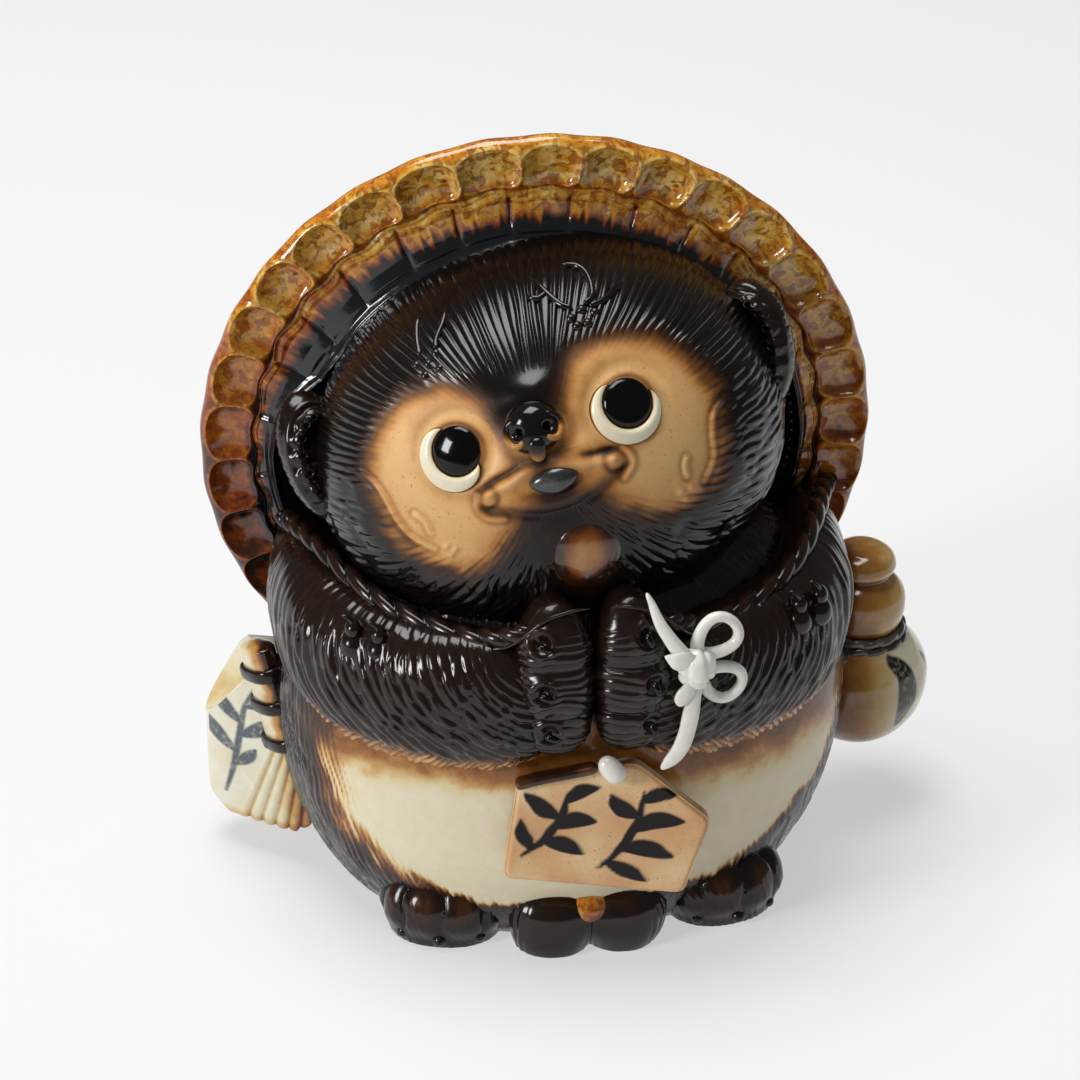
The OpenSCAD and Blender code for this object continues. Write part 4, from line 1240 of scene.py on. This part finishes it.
def hat_crown():
    """The fur's root behind the ridge in front, and the turned amber dome behind."""
    n = 900
    theta = (np.arange(n) * 360 / n)[None, :]
    t = np.linspace(0, 1, 40)[:, None]
    r = ridge_radius(theta) - 1.0 - 9.0 * t
    y = -6.8 + 7.5 * t
    fur = (1 - np.abs(2 * (theta / 360 * 148 % 1) - 1) ** 3) * step(0.06, 0.25, t)
    grid = from_hat(r, y - 0.9 * fur, theta)
    parts = [skin(grid, ends=False, tone=0.04)]
    back = curve([
        (92, 9), (96, 9.2), (100, 9.4), (98, 12), (88, 17), (74, 24), (62, 31), (50, 37.5), (36, 45),
        (18, 50.5), (8, 52), (0.6, 52.3),
    ], 170)
    r, y = back[:, :1], back[:, 1:]
    ring = 0.22 * np.sin(r * 1.45) + 0.12 * np.sin(r * 3.3 + 1)
    grid = from_hat(r, y + ring + 0.3 * cloud(from_hat(r, y, theta), 18, 122), theta)
    drip = clouds(joined(theta * 0.5, r * 0.12, y * 0), 2.0, 123)
    # side_shade paints shade low on both sides of the dome
    tone = 0.5 + 0.14 * drip - 0.14 * side_shade(theta) + 0.1 * step(60, 20, r) + 0.04 * np.sin(r * 1.45)
    parts.append(skin(grid[:, ::-1], ends=False, tone=np.clip(tone, 0, 1)[:, ::-1]))
    return piece("hat_crown_dome", parts, HAT_GLAZE, ["hat_crown"])


# Rope, flask and book


def rope(path, r, turns, n, phase=0.0):
    """A cord of two twisted strands along a path, and how high each point of it stands."""
    m = len(path)
    t = np.linspace(0, 1, m)[:, None]
    a = circle(n)
    twist = a * 2 + t * turns * 2 * np.pi + phase
    radius = r * (0.74 + 0.28 * np.abs(np.cos(twist / 2)) ** 0.7)
    grid = tube(path, 1.0, 1.0, n, up=(0.05, 0, 1))
    centre = np.array(path)[:, None]
    return (grid - centre) * radius[..., None] + centre, radius / r


def chin_cord():
    """The hat's twisted cord, lying on the arms, with a thin ledge of glaze along its lower side."""
    parts = []
    line = [
        (90, 6, 124), (86, -4, 125), (80, -22, 127), (71, -42, 125.5), (58, -58, 122.5), (42, -70.5, 121.3),
        (30, -78.5, 124), (21, -83.5, 129.5),
    ]
    ledge = [
        (80, -25, 124.4), (71, -45, 122.8), (58, -61, 119.8), (42, -73.6, 118.7), (30, -80.8, 121.6),
        (23.5, -85, 128), (17, -86.0, 133.6), (9, -85.6, 136.0), (3, -84.2, 135.6),
    ]
    for s in (-1, 1):
        path = curve(line, 420) * [s, 1, 1]
        thick = 3.3 * tapered(420, 0, 0.1)[:, None]
        grid, ridge = rope(path, thick, 13 * s, 44)
        grid, ridge = outward(path[:, None], grid, ridge)
        parts.append(skin(grid, tone=0.1 + 0.12 * step(0.9, 1.02, ridge)))
        path = curve(ledge, 300) * [s, 1, 1]
        thin = 0.6 * tapered(300, 0.1, 0.2)
        grid = tube(path, thin, thin, 16, up=(0.05, 0, 1))
        parts.append(skin(grid if s > 0 else grid[:, ::-1], tone=0.24))
    return piece("chin_cord_rope", parts, DARK_GLAZE, ["chin_cord"])


FLASK_C = np.array([103.5, 8.0, 47.0])


def flask():
    """The bulb with its black brush strokes, and the neck with its cap."""
    a = circle(260)
    body = curve([
        (0.3, -24), (8, -23.2), (14.5, -19.5), (20, -13), (23.2, -5), (23.9, 1.5), (22.6, 8), (19, 13.6),
        (15.2, 17), (13.6, 18.6),
    ], 150)
    neck = curve([
        (13.0, 18.6), (13.4, 20), (14.5, 23.5), (15.1, 28), (14.6, 32.6), (12.6, 36.0), (10.2, 38.0),
        (9.4, 39.2), (9.8, 40.4), (11.2, 41.8), (11.5, 44.0), (10.4, 46.8), (7.4, 48.8), (3.4, 49.5),
        (0.3, 49.7),
    ], 150)
    made = []
    for rows in (body, neck):
        r, z = rows[:, :1], rows[:, 1:]
        grid = joined(r * np.cos(a), r * np.sin(a), z)
        grid = grid + unit(grid * [1, 1, 0.3]) * (0.3 * cloud(grid, 9, 131))[..., None]
        made.append(grid)
    grid = made[0]
    x, z = grid[..., 0], grid[..., 2]
    tone = 0.1 + 0.34 * step(-16, -7, x) + 0.26 * step(-6, 4, x) + 0.3 * step(2, 12, x)
    tone = tone + 0.07 * cloud(grid, 8, 132)
    unrolled = np.arctan2(x, -grid[..., 1]) * 23
    strokes = [
        ([(9.3, 13.5), (13.4, 9), (13.6, 0), (12.4, -10)], 3.8),
        ([(27.5, 10), (30, 4), (31, -2), (30, -9)], 1.9),
    ]
    ink = 0
    for points, fat in strokes:
        gap, t = to_line(unrolled, z, curve(points, 30))
        width = fat * np.sqrt(np.sin(np.pi * np.clip(t * 0.9 + 0.05, 0.02, 0.98)))
        ink = np.maximum(ink, step(1.0, 0.0, gap - width))
    parts = [skin(grid + FLASK_C, tone=tone, ink=ink)]
    piece("flask_bulb_body", parts, FLASK, ["flask_bulb"])
    grid = made[1]
    x, z = grid[..., 0], grid[..., 2]
    tone = 0.16 + 0.32 * step(-10, -2, x) + 0.2 * step(-2, 10, x) + 0.25 * bell(z - 41.9, 0.9)
    tone = tone + 0.09 * cloud(grid, 6, 133)
    tone = tone - 0.3 * bell(z - 39.6, 0.8) - 0.3 * step(23, 19, z)
    parts = [skin(grid + FLASK_C, tone=tone, ink=0)]
    piece("flask_neck_and_cap", parts, FLASK, ["flask_neck"])


def flask_cord():
    """Three turns of cord round the neck, knotted in front."""
    parts = []
    for k, dz in enumerate((-3.2, 0.0, 3.0)):
        a = np.linspace(0, 2 * np.pi, 300)
        bulge = (15.8, 14.8, 14.2)[k]
        path = np.stack([bulge * np.cos(a), bulge * np.sin(a), 16.2 + dz + 0.25 * np.sin(a * 3 + k)], -1)
        grid, _ = rope(path, np.full((300, 1), 1.75), 14, 22, k)
        grid = outward(path[:, None], grid)
        parts.append(skin(grid + FLASK_C, ends=False, tone=0.55 + 0.2 * (k == 2)))
    parts.append(skin(ball(FLASK_C + [-9, -14.2, 14], [3.0, 3.0, 2.8, 2.8, 2.6, 2.6], 40, 24), tone=0.7))
    parts.append(skin(ball(FLASK_C + [-11.2, -12.6, 12.2], [2.2, 2.2, 2, 2, 1.8, 1.8], 30, 18), tone=0.6))
    for end in ((-12.5, -12.4, 9.0), (-8.5, -15.0, 9.5)):
        path = curve([(-9.5, -14.4, 13), np.mean([(-9.5, -15.4, 13), end], 0), end], 30) + FLASK_C
        thick = tapered(30, 0.1, 0.5)
        grid = tube(path, 1.1 * thick, 0.9 * thick, 14, up=(0, 1, 0))
        parts.append(skin(grid, tone=0.6))
    return piece("flask_neck_cord", parts, GREY_GLAZE, ["flask_cord"])


def book_block():
    """A brushed cover, with the folded pages fanning out below the spine."""
    rows, n = 260, 520
    z = np.linspace(0, 1, rows)[:, None]
    plan = smoothed([
        (-72, -9), (-77, -13.2), (-84, -14.2), (-92, -12.8), (-98.5, -8.8), (-107, -2.5), (-114.8, 4),
        (-118.4, 10), (-116.5, 16.5), (-108, 20.8), (-92, 23), (-74, 23.4), (-70, 10),
    ], n)
    low = np.interp(plan[:, 0], [-118.5, -113, -91, -78, -70], [18.5, 13.4, 13.4, 20, 26])
    high = np.interp(plan[:, 0], [-118.5, -106, -103, -90, -72], [50, 69, 71, 68, 62])
    centre = np.array([-94.0, 5.0])
    edge = np.minimum(z, 1 - z) * 60
    pull = 1 - 0.035 * np.clip(1 - edge / 1.6, 0, 1) ** 2
    x = centre[0] + (plan[:, 0] - centre[0]) * pull
    y = centre[1] + (plan[:, 1] - centre[1]) * pull
    height = low + (high - low) * z
    grid = joined(x, y, height)
    grid = outward([centre[0], centre[1], 46], grid)
    out = facing(grid)
    x, y, z = grid[..., 0], grid[..., 1], grid[..., 2]
    first = -96.5 - 12.5 * np.clip((52 - z) / 36, 0, 1)
    fan = (x - first) / (-76 - first) * 8 + 0.3
    ridge = 1 - np.abs(2 * (fan - np.floor(fan)) - 1) ** 2.2
    put = step(-0.6, 1.0, x - first) * step(6, 1, y) * step(56, 51, z)
    relief = put * (1.0 * ridge - 0.7) + (1 - put) * 0.25 * cloud(grid, 16, 141)
    grid = grid + out * relief[..., None]
    tone = 0.95 + 0.04 * cloud(grid, 9, 142) - 0.2 * step(-107, -116, x) * step(8, 16, y)
    page_tone = 0.92 - 0.36 * step(-98, -88, x) - 0.5 * step(-88, -79, x) - 0.22 * (1 - ridge)
    tone = mix(tone, page_tone, put) - 0.5 * (1 - put) * step(-90, -82, x) * (y < 6)
    tone = tone - 0.2 * step(17.5, 14.5, z)
    leaves = [
        ([(-111, 22), (-109, 33), (-107.5, 45), (-106, 57), (-103.5, 66)], 0.7),
        ([(-108.6, 34), (-106, 37.5), (-103.8, 42)], 1.5),
        ([(-108.3, 39), (-111.5, 43), (-113.5, 49)], 1.7),
        ([(-107.2, 46), (-103.5, 49.5), (-100.5, 55)], 1.9),
        ([(-106.8, 51), (-110, 55.5), (-111.5, 61)], 1.8),
        ([(-105.4, 58), (-101.5, 61), (-98.5, 65.5)], 1.6),
    ]
    ink = leaf_strokes(x + 0.35 * (y + 4), z, leaves) * (1 - put) * (y < 8)
    parts = [skin(grid, tone=np.clip(tone, 0, 1), ink=ink)]
    return piece("book_pages_and_cover", parts, BOOK, ["book_block"])


SPINE = [(-102.0, -6.0, 85.5), (-93.5, -13.5, 50.0)]


def book_spine():
    top, foot_end = np.array(SPINE[0]), np.array(SPINE[1])
    t = np.linspace(0, 1, 240)[:, None]
    path = top + (foot_end - top) * t + np.array([0, -1.3, 0])
    wide = 8.2 * tapered(240, 0.05, 0.05, 0.05)
    high = 4.6 * tapered(240, 0.05, 0.05, 0.05)
    grid = outward(path[:, None], tube(path, high, wide, 60, up=(0.45, -0.9, 0), cut=0.75))
    across = grid[..., 0] - path[:, None, 0]
    edge = across + 0.9 * cloud(grid, 3, 152)
    tone = 0.84 - 0.26 * step(-3.6, -1.2, edge) - 0.5 * step(-0.8, 2.2, edge) + 0.06 * cloud(grid, 5, 151)
    parts = [skin(grid, tone=np.clip(tone, 0, 1), ink=0)]
    return piece("book_spine_bar", parts, BOOK, ["book_spine"])


def book_ties():
    """Flat dark bands wrapped over the spine."""
    top, foot_end = np.array(SPINE[0]), np.array(SPINE[1])
    along = unit(foot_end - top)
    parts = []
    for k in (0.27, 0.58, 0.95):
        centre = top + (foot_end - top) * k + np.array([0, -1.3, 0])
        a = np.linspace(0, 2 * np.pi, 120)[:, None]
        side = unit(np.cross([0.45, -0.9, 0], along))
        up = np.cross(along, side)
        ring = centre + 5.1 * spow(np.cos(a), 0.75) * side + 8.7 * spow(np.sin(a), 0.75) * up
        grid = tube(ring, 1.3, 2.3, 18, up=along, cut=0.7)
        parts.append(skin(grid, ends=False, tone=0.12))
    return piece("book_tie_bands", parts, DARK_GLAZE, ["book_ties"])


# Tablet, bow and small ornaments

TABLET_TURN = rot("Z", -6) @ rot("X", -3)
TABLET = [(-33.5, -18), (24, -25), (32.5, 2), (8.5, 23.5), (-28.8, 17.3)]


def on_tablet(p):
    """Points of the tablet, whose face is drawn across x and up y, stood upright in their place."""
    upright = rot("X", 90)
    return np.asarray(p, float) @ (TABLET_TURN @ upright).T + [3, -84, 57]


def rounded(outline, r):
    """Outline with its corners rounded by arcs of about that radius."""
    points = np.array(outline, float)
    per = 14
    out = []
    for k, p in enumerate(points):
        before, after = points[k - 1], points[(k + 1) % len(points)]
        start = p + unit(before - p) * r
        end = p + unit(after - p) * r
        for t in np.linspace(0, 1, per):
            out.append((1 - t) ** 2 * start + 2 * t * (1 - t) * p + t**2 * end)
        for t in np.linspace(0.03, 0.97, per * 2):
            out.append(end + (after + unit(p - after) * r - end) * t)
    return np.array(out)


def slab_grid(outline, thick):
    """A plate with softened edges: its back, its edge and its front."""
    c = outline.mean(0)
    lip = 1.1
    made = []
    for share in np.linspace(0.0, 0.97, 12):
        made.append((share, 0.0))
    for t in np.linspace(0, np.pi / 2, 7)[1:]:
        made.append((0.97 + 0.03 * np.sin(t), lip * (1 - np.cos(t))))
    for t in np.linspace(0, 1, 8)[1:-1]:
        made.append((1.0, lip + (thick - 2 * lip) * t))
    for t in np.linspace(0, np.pi / 2, 8):
        made.append((0.965 + 0.035 * np.cos(t), thick - lip + lip * np.sin(t)))
    for share in np.linspace(0.965, 0.0, 90)[1:]:
        made.append((share, thick))
    return np.array([np.column_stack([c + (outline - c) * s, np.full(len(outline), h)]) for s, h in made])


def leaf_strokes(x, z, leaves):
    """Brush-drawn leaves and stems: each a tapered stroke given by its points and half-width."""
    ink = 0.0 * x
    for points, width in leaves:
        d, t = to_line(x, z, curve(points, 24))
        w = width * np.sin(np.pi * np.clip(0.06 + 0.9 * t, 0, 1)) ** 0.8
        ink = np.maximum(ink, step(0.4, -0.4, d - w - 0.15))
    return ink


def tablet():
    """A votive plate of bare clay with a painted sprig of leaves on each half."""
    outline = rounded(TABLET, 3.4)
    grid = slab_grid(outline, 5.2)
    x, z, h = grid[..., 0], grid[..., 1], grid[..., 2]
    d = inside(x, z, outline[::3])
    face = step(4.6, 5.1, h)
    leaves = [
        ([(-27.5, -9.5), (-20, -3), (-15, 5), (-12.5, 13.5)], 1.5),
        ([(-15.5, 4.5), (-20.5, 7.5), (-26, 13)], 2.7), ([(-13.2, 10), (-9.5, 13.5), (-3.5, 15)], 2.5),
        ([(-17.5, 1), (-11, 3.5), (-4.5, 2.5)], 2.9), ([(-21, -4), (-14, -5.5), (-8.5, -9)], 2.8),
        ([(-24, -7), (-27, -2.5), (-27.5, 3.5)], 2.3),
        ([(-3, -14.5), (4, -7), (9, 2), (11, 13)], 1.5), ([(9.5, 4), (3.5, 7.5), (0.5, 12)], 2.6),
        ([(10.5, 9.5), (16, 12), (21, 11.5)], 2.5),
        ([(7.5, -1), (14.5, 2.5), (23.5, 2)], 3.0), ([(3.5, -7.5), (11, -7.5), (20, -11)], 3.0),
        ([(-1, -12), (5, -15.5), (12, -19.5)], 2.4),
    ]
    ink = leaf_strokes(x + 0.5 * cloud(grid, 3, 161), z, leaves) * face
    relief = 0.35 * ink + 0.3 * cloud(grid, 13, 162) * face - 0.7 * step(1.6, 0, d) * face
    grid[..., 2] = h + relief
    tone = 0.72 + 0.3 * cloud(grid, 12, 163) - 0.25 * step(5, 0, d) * face + 0.25 * step(4.4, 2.0, h)
    burn, _ = to_line(x, z, [(-31, -10), (-28.8, 17.3), (7, 23)])
    ink = np.maximum(ink, 0.5 * step(2.0, 0.0, burn) * step(4.9, 2.5, h))
    parts = [skin(on_tablet(grid), tone=np.clip(tone, 0, 1), ink=ink)]
    return piece("tablet_plate", parts, CLAY, ["tablet"])


def tablet_eave():
    line = [(-29.4, 16.3, 4.6), (-23, 18.5, 5.2), (-13.5, 20.6, 5.4), (-3.6, 22.4, 5.0)]
    path = on_tablet(curve(line, 120))
    thick = tapered(120, 0.08, 0.08, 0.1)
    grid = tube(path, 1.7 * thick, 2.6 * thick, 36, up=(0, -1, 0), cut=0.8)
    grid = outward(path[:, None], grid)
    parts = [skin(grid, tone=0.3 + 0.12 * cloud(grid, 5, 170))]
    return piece("tablet_glazed_edge", parts, DARK_GLAZE, ["tablet_eave"])


def tablet_peg():
    path = on_tablet(curve([(-2.6, 26.2, 6.2), (-0.8, 24.6, 7.4), (1.6, 21.8, 7.8), (3.6, 19.2, 6.8)], 60))
    thick = tapered(60, 0.55, 0.3)
    grid = tube(path, 3.5 * thick, 3.1 * thick, 48, up=(0, -1, 0))
    return piece("tablet_peg_drop", [skin(grid, tone=0.78)], SLIP, ["tablet_peg"])


def strand(points, wide, high, tone, end=0.2):
    """A flat strand of the bow, worn to brown along its edges; end is the share of it that narrows."""
    n = 130
    path = curve(points, n)
    taper = tapered(n, 0.1, end, 0.08)
    grid = tube(path, values_along(wide, n) * taper, high * taper, 40, up=(0, -1, 0), cut=0.9)
    grid = outward(path[:, None], grid)
    out = facing(grid)
    shift = cloud(grid, 5, 181)
    grid = grid + out * (0.18 * shift)[..., None]
    edge = np.abs(np.cos(circle(40)))
    return skin(grid, tone=tone - 0.35 * step(0.86, 1.0, edge) + 0.06 * shift)


def bow():
    """Strands of the cord and its two loops, each a flattened coil drawn from the knot."""
    parts = [
        strand([(13.8, -86, 141), (15.2, -87.4, 138), (18, -90.2, 131), (23, -91.4, 123),
                (28.5, -91, 116)], [0.7, 1.2, 1.9, 2.4, 2.6], 1.4, 0.9),
        strand([(29.4, -90.4, 112), (28.6, -91.6, 108), (27.2, -93, 100), (25.4, -93.4, 92),
                (23, -93.2, 86), (18.4, -92.2, 80)],
               [2.0, 2.3, 2.6, 2.7, 2.6, 2.2], 1.2, 0.86),
        strand([(29, -91, 116), (26, -92.2, 118.5), (22.4, -92.8, 120), (18.8, -92.2, 121.4)],
               [1.8, 3.4, 3.2, 1.2], 1.2, 0.9, end=0.45),
        strand([(28.5, -91.5, 112), (26.4, -92.6, 109), (24.6, -93, 106.5), (23.4, -93, 103.4)],
               [1.8, 2.4, 2.6, 1.6], 1.3, 0.86),
    ]
    for cx, cz, rx, rz, lean in ((35.6, 124.4, 7.0, 5.7, -40), (37.4, 108.4, 6.8, 5.5, 32)):
        a = np.linspace(0, 2 * np.pi, 200)
        narrow = 1 - 0.3 * np.cos(a)
        ring = np.stack([-rx * np.cos(a), -0.9 * np.cos(a) * 0.6, rz * np.sin(a) * narrow], -1)
        ring = ring @ rot("Y", lean).T + [cx, -87.8, cz]
        grid = outward(ring[:, None], tube(ring, 1.95 + 0.3 * np.cos(a), 1.7, 36, up=(0, -1, 0)))
        edge = np.abs(np.cos(circle(36)))
        worn = step(0.88, 1.0, edge) * step(-0.2, 0.8, cloud(grid, 5, 184))
        parts.append(skin(grid, ends=False, tone=0.9 + 0.06 * cloud(grid, 5, 183) - 0.45 * worn))
    return piece("cord_bow_loops", parts, SLIP, ["bow"])


def bow_knot():
    grid = ball((29.4, -89.6, 115.0), [6.2, 6.2, 5.2, 4.4, 7.4, 7.0], 90, 60)
    out = facing(grid)
    x, z = grid[..., 0] - 29.4, grid[..., 2] - 115
    pinch = 0.7 * bell(x - 3.4 + 0.2 * z, 0.8) + 0.6 * bell(z + 3.6 + 0.3 * x, 0.8)
    pinch = pinch + 0.5 * bell(x + 3.6, 0.8)
    grid = grid + out * (0.4 * cloud(grid, 5, 185) - pinch)[..., None]
    return piece("cord_bow_knot", [skin(grid, tone=0.93 - 0.1 * pinch)], SLIP, ["bow_knot"])


def shoulder_gourds():
    """Two small gourds pressed on each shoulder."""
    parts = []
    for s in (-1, 1):
        for x, y in ((74, -58.9), (66.5, -63.9)):
            parts.append(skin(ball((x * s, y, 113), [4.4, 4.4, 4.6, 5, 5.0, 5.2], 50, 34), tone=0.1))
            parts.append(skin(ball((x * s, y + 0.2, 119.2), [2.8, 2.8, 3.4, 4, 3.6, 3.2], 40, 26),
                              tone=0.12))
            path = curve([(x * s, y - 1.6, 121.5), (x * s - 1.5, y - 1.8, 124),
                          (x * s - 3.6, y - 1.0, 125.2)], 24)
            thick = 0.7 * tapered(24, 0.2, 0.4)
            parts.append(skin(tube(path, thick, thick, 12, up=(0, -1, 0)), tone=0.12))
    return piece("shoulder_gourd_drops", parts, DARK_GLAZE, ["shoulder_gourds"])


torso()
foot_ring()
head()
for side in (-1, 1):
    arm(side)
    paw(side)
    foot(side)
    ear(side)
    eye_ring(side)
    pupil(side)
paw_claws()
foot_claws()
pouch()
pouch_boss()
tail()
lips()
nose()
mouth()
chin()
brow_sprigs()
hat_rim()
hat_band()
hat_crown()
chin_cord()
flask()
flask_cord()
book_block()
book_spine()
book_ties()
tablet()
tablet_eave()
tablet_peg()
bow()
bow_knot()
shoulder_gourds()


# Stage, light and camera

PAPER = (0.79, 0.79, 0.795, 1.0)
WHITE = (1.0, 1.0, 1.0, 1.0)
PAPER_LIFT = 0.52
ROOM_LIGHT = 0.12


def floor_paper():
    """Matt paper, lifted towards white where the camera or a reflection sees it; the shadow stays."""
    made = bpy.data.materials.new("floor_paper")
    made.use_nodes = True
    nodes, links = made.node_tree.nodes, made.node_tree.links
    paper = nodes["Principled BSDF"]
    paper.inputs["Base Color"].default_value = PAPER
    paper.inputs["Roughness"].default_value = 0.9
    paper.inputs["Specular IOR Level"].default_value = 0.1
    glow = nodes.new("ShaderNodeEmission")
    glow.inputs["Color"].default_value = WHITE
    glow.inputs["Strength"].default_value = 1.0
    rays = nodes.new("ShaderNodeLightPath")
    seen = rays.outputs["Is Camera Ray"]
    for other in ("Is Glossy Ray", "Is Transmission Ray"):
        total = nodes.new("ShaderNodeMath")
        total.operation = "MAXIMUM"
        links.new(seen, total.inputs[0])
        links.new(rays.outputs[other], total.inputs[1])
        seen = total.outputs[0]
    share = nodes.new("ShaderNodeMath")
    share.operation = "MULTIPLY"
    share.inputs[1].default_value = PAPER_LIFT
    links.new(seen, share.inputs[0])
    both = nodes.new("ShaderNodeMixShader")
    links.new(share.outputs[0], both.inputs[0])
    links.new(paper.outputs[0], both.inputs[1])
    links.new(glow.outputs[0], both.inputs[2])
    links.new(both.outputs[0], nodes["Material Output"].inputs["Surface"])
    return made


def floor():
    """A flat pale sheet far wider than the view."""
    n = 8
    x, y = np.meshgrid(np.linspace(-3000, 3000, n), np.linspace(-3000, 3000, n))
    points, quads, _, _ = skin(np.stack([x, y, 0 * x - 0.05], -1), closed=False, ends=False)
    mesh = bpy.data.meshes.new("floor")
    mesh.from_pydata((points * MM).tolist(), [], quads.tolist())
    mesh.materials.append(floor_paper())
    thing = bpy.data.objects.new("floor", mesh)
    bpy.context.collection.objects.link(thing)


def lamp(name, at, aim, size, power):
    """A rectangular lamp turned towards a point."""
    data = bpy.data.lights.new(name, "AREA")
    data.shape = "RECTANGLE"
    data.size, data.size_y = size
    data.energy = power
    thing = bpy.data.objects.new(name, data)
    thing.location = at
    thing.rotation_euler = (Vector(aim) - Vector(at)).to_track_quat("-Z", "Y").to_euler()
    bpy.context.collection.objects.link(thing)


def world():
    """Dim even room light."""
    made = bpy.data.worlds.new("studio")
    made.use_nodes = True
    made.node_tree.nodes["Background"].inputs["Color"].default_value = WHITE
    made.node_tree.nodes["Background"].inputs["Strength"].default_value = ROOM_LIGHT
    bpy.context.scene.world = made


def camera():
    """The photograph's view: 30 degrees down, 8 degrees round, from 1.25 m."""
    azimuth, elevation, distance = math.radians(-8), math.radians(30), 1.25
    target = Vector((-0.0069, 0.0, 0.112))
    back = Vector((math.sin(azimuth) * math.cos(elevation), -math.cos(azimuth) * math.cos(elevation),
                   math.sin(elevation)))
    data = bpy.data.cameras.new("view")
    data.sensor_width = 36
    data.lens = 127.07
    thing = bpy.data.objects.new("view", data)
    thing.location = target + back * distance
    thing.rotation_euler = back.to_track_quat("Z", "Y").to_euler()
    bpy.context.collection.objects.link(thing)
    bpy.context.scene.camera = thing


floor()
world()
camera()
lamp("overhead", (-0.22, 0.2, 1.75), (0, 0, 0.1), (1.1, 1.0), 28)
lamp("window", (-2.2, -1.02, 1.0), (0, 0, 0.14), (0.58, 0.84), 38)
bpy.context.scene.view_settings.view_transform = "Standard"
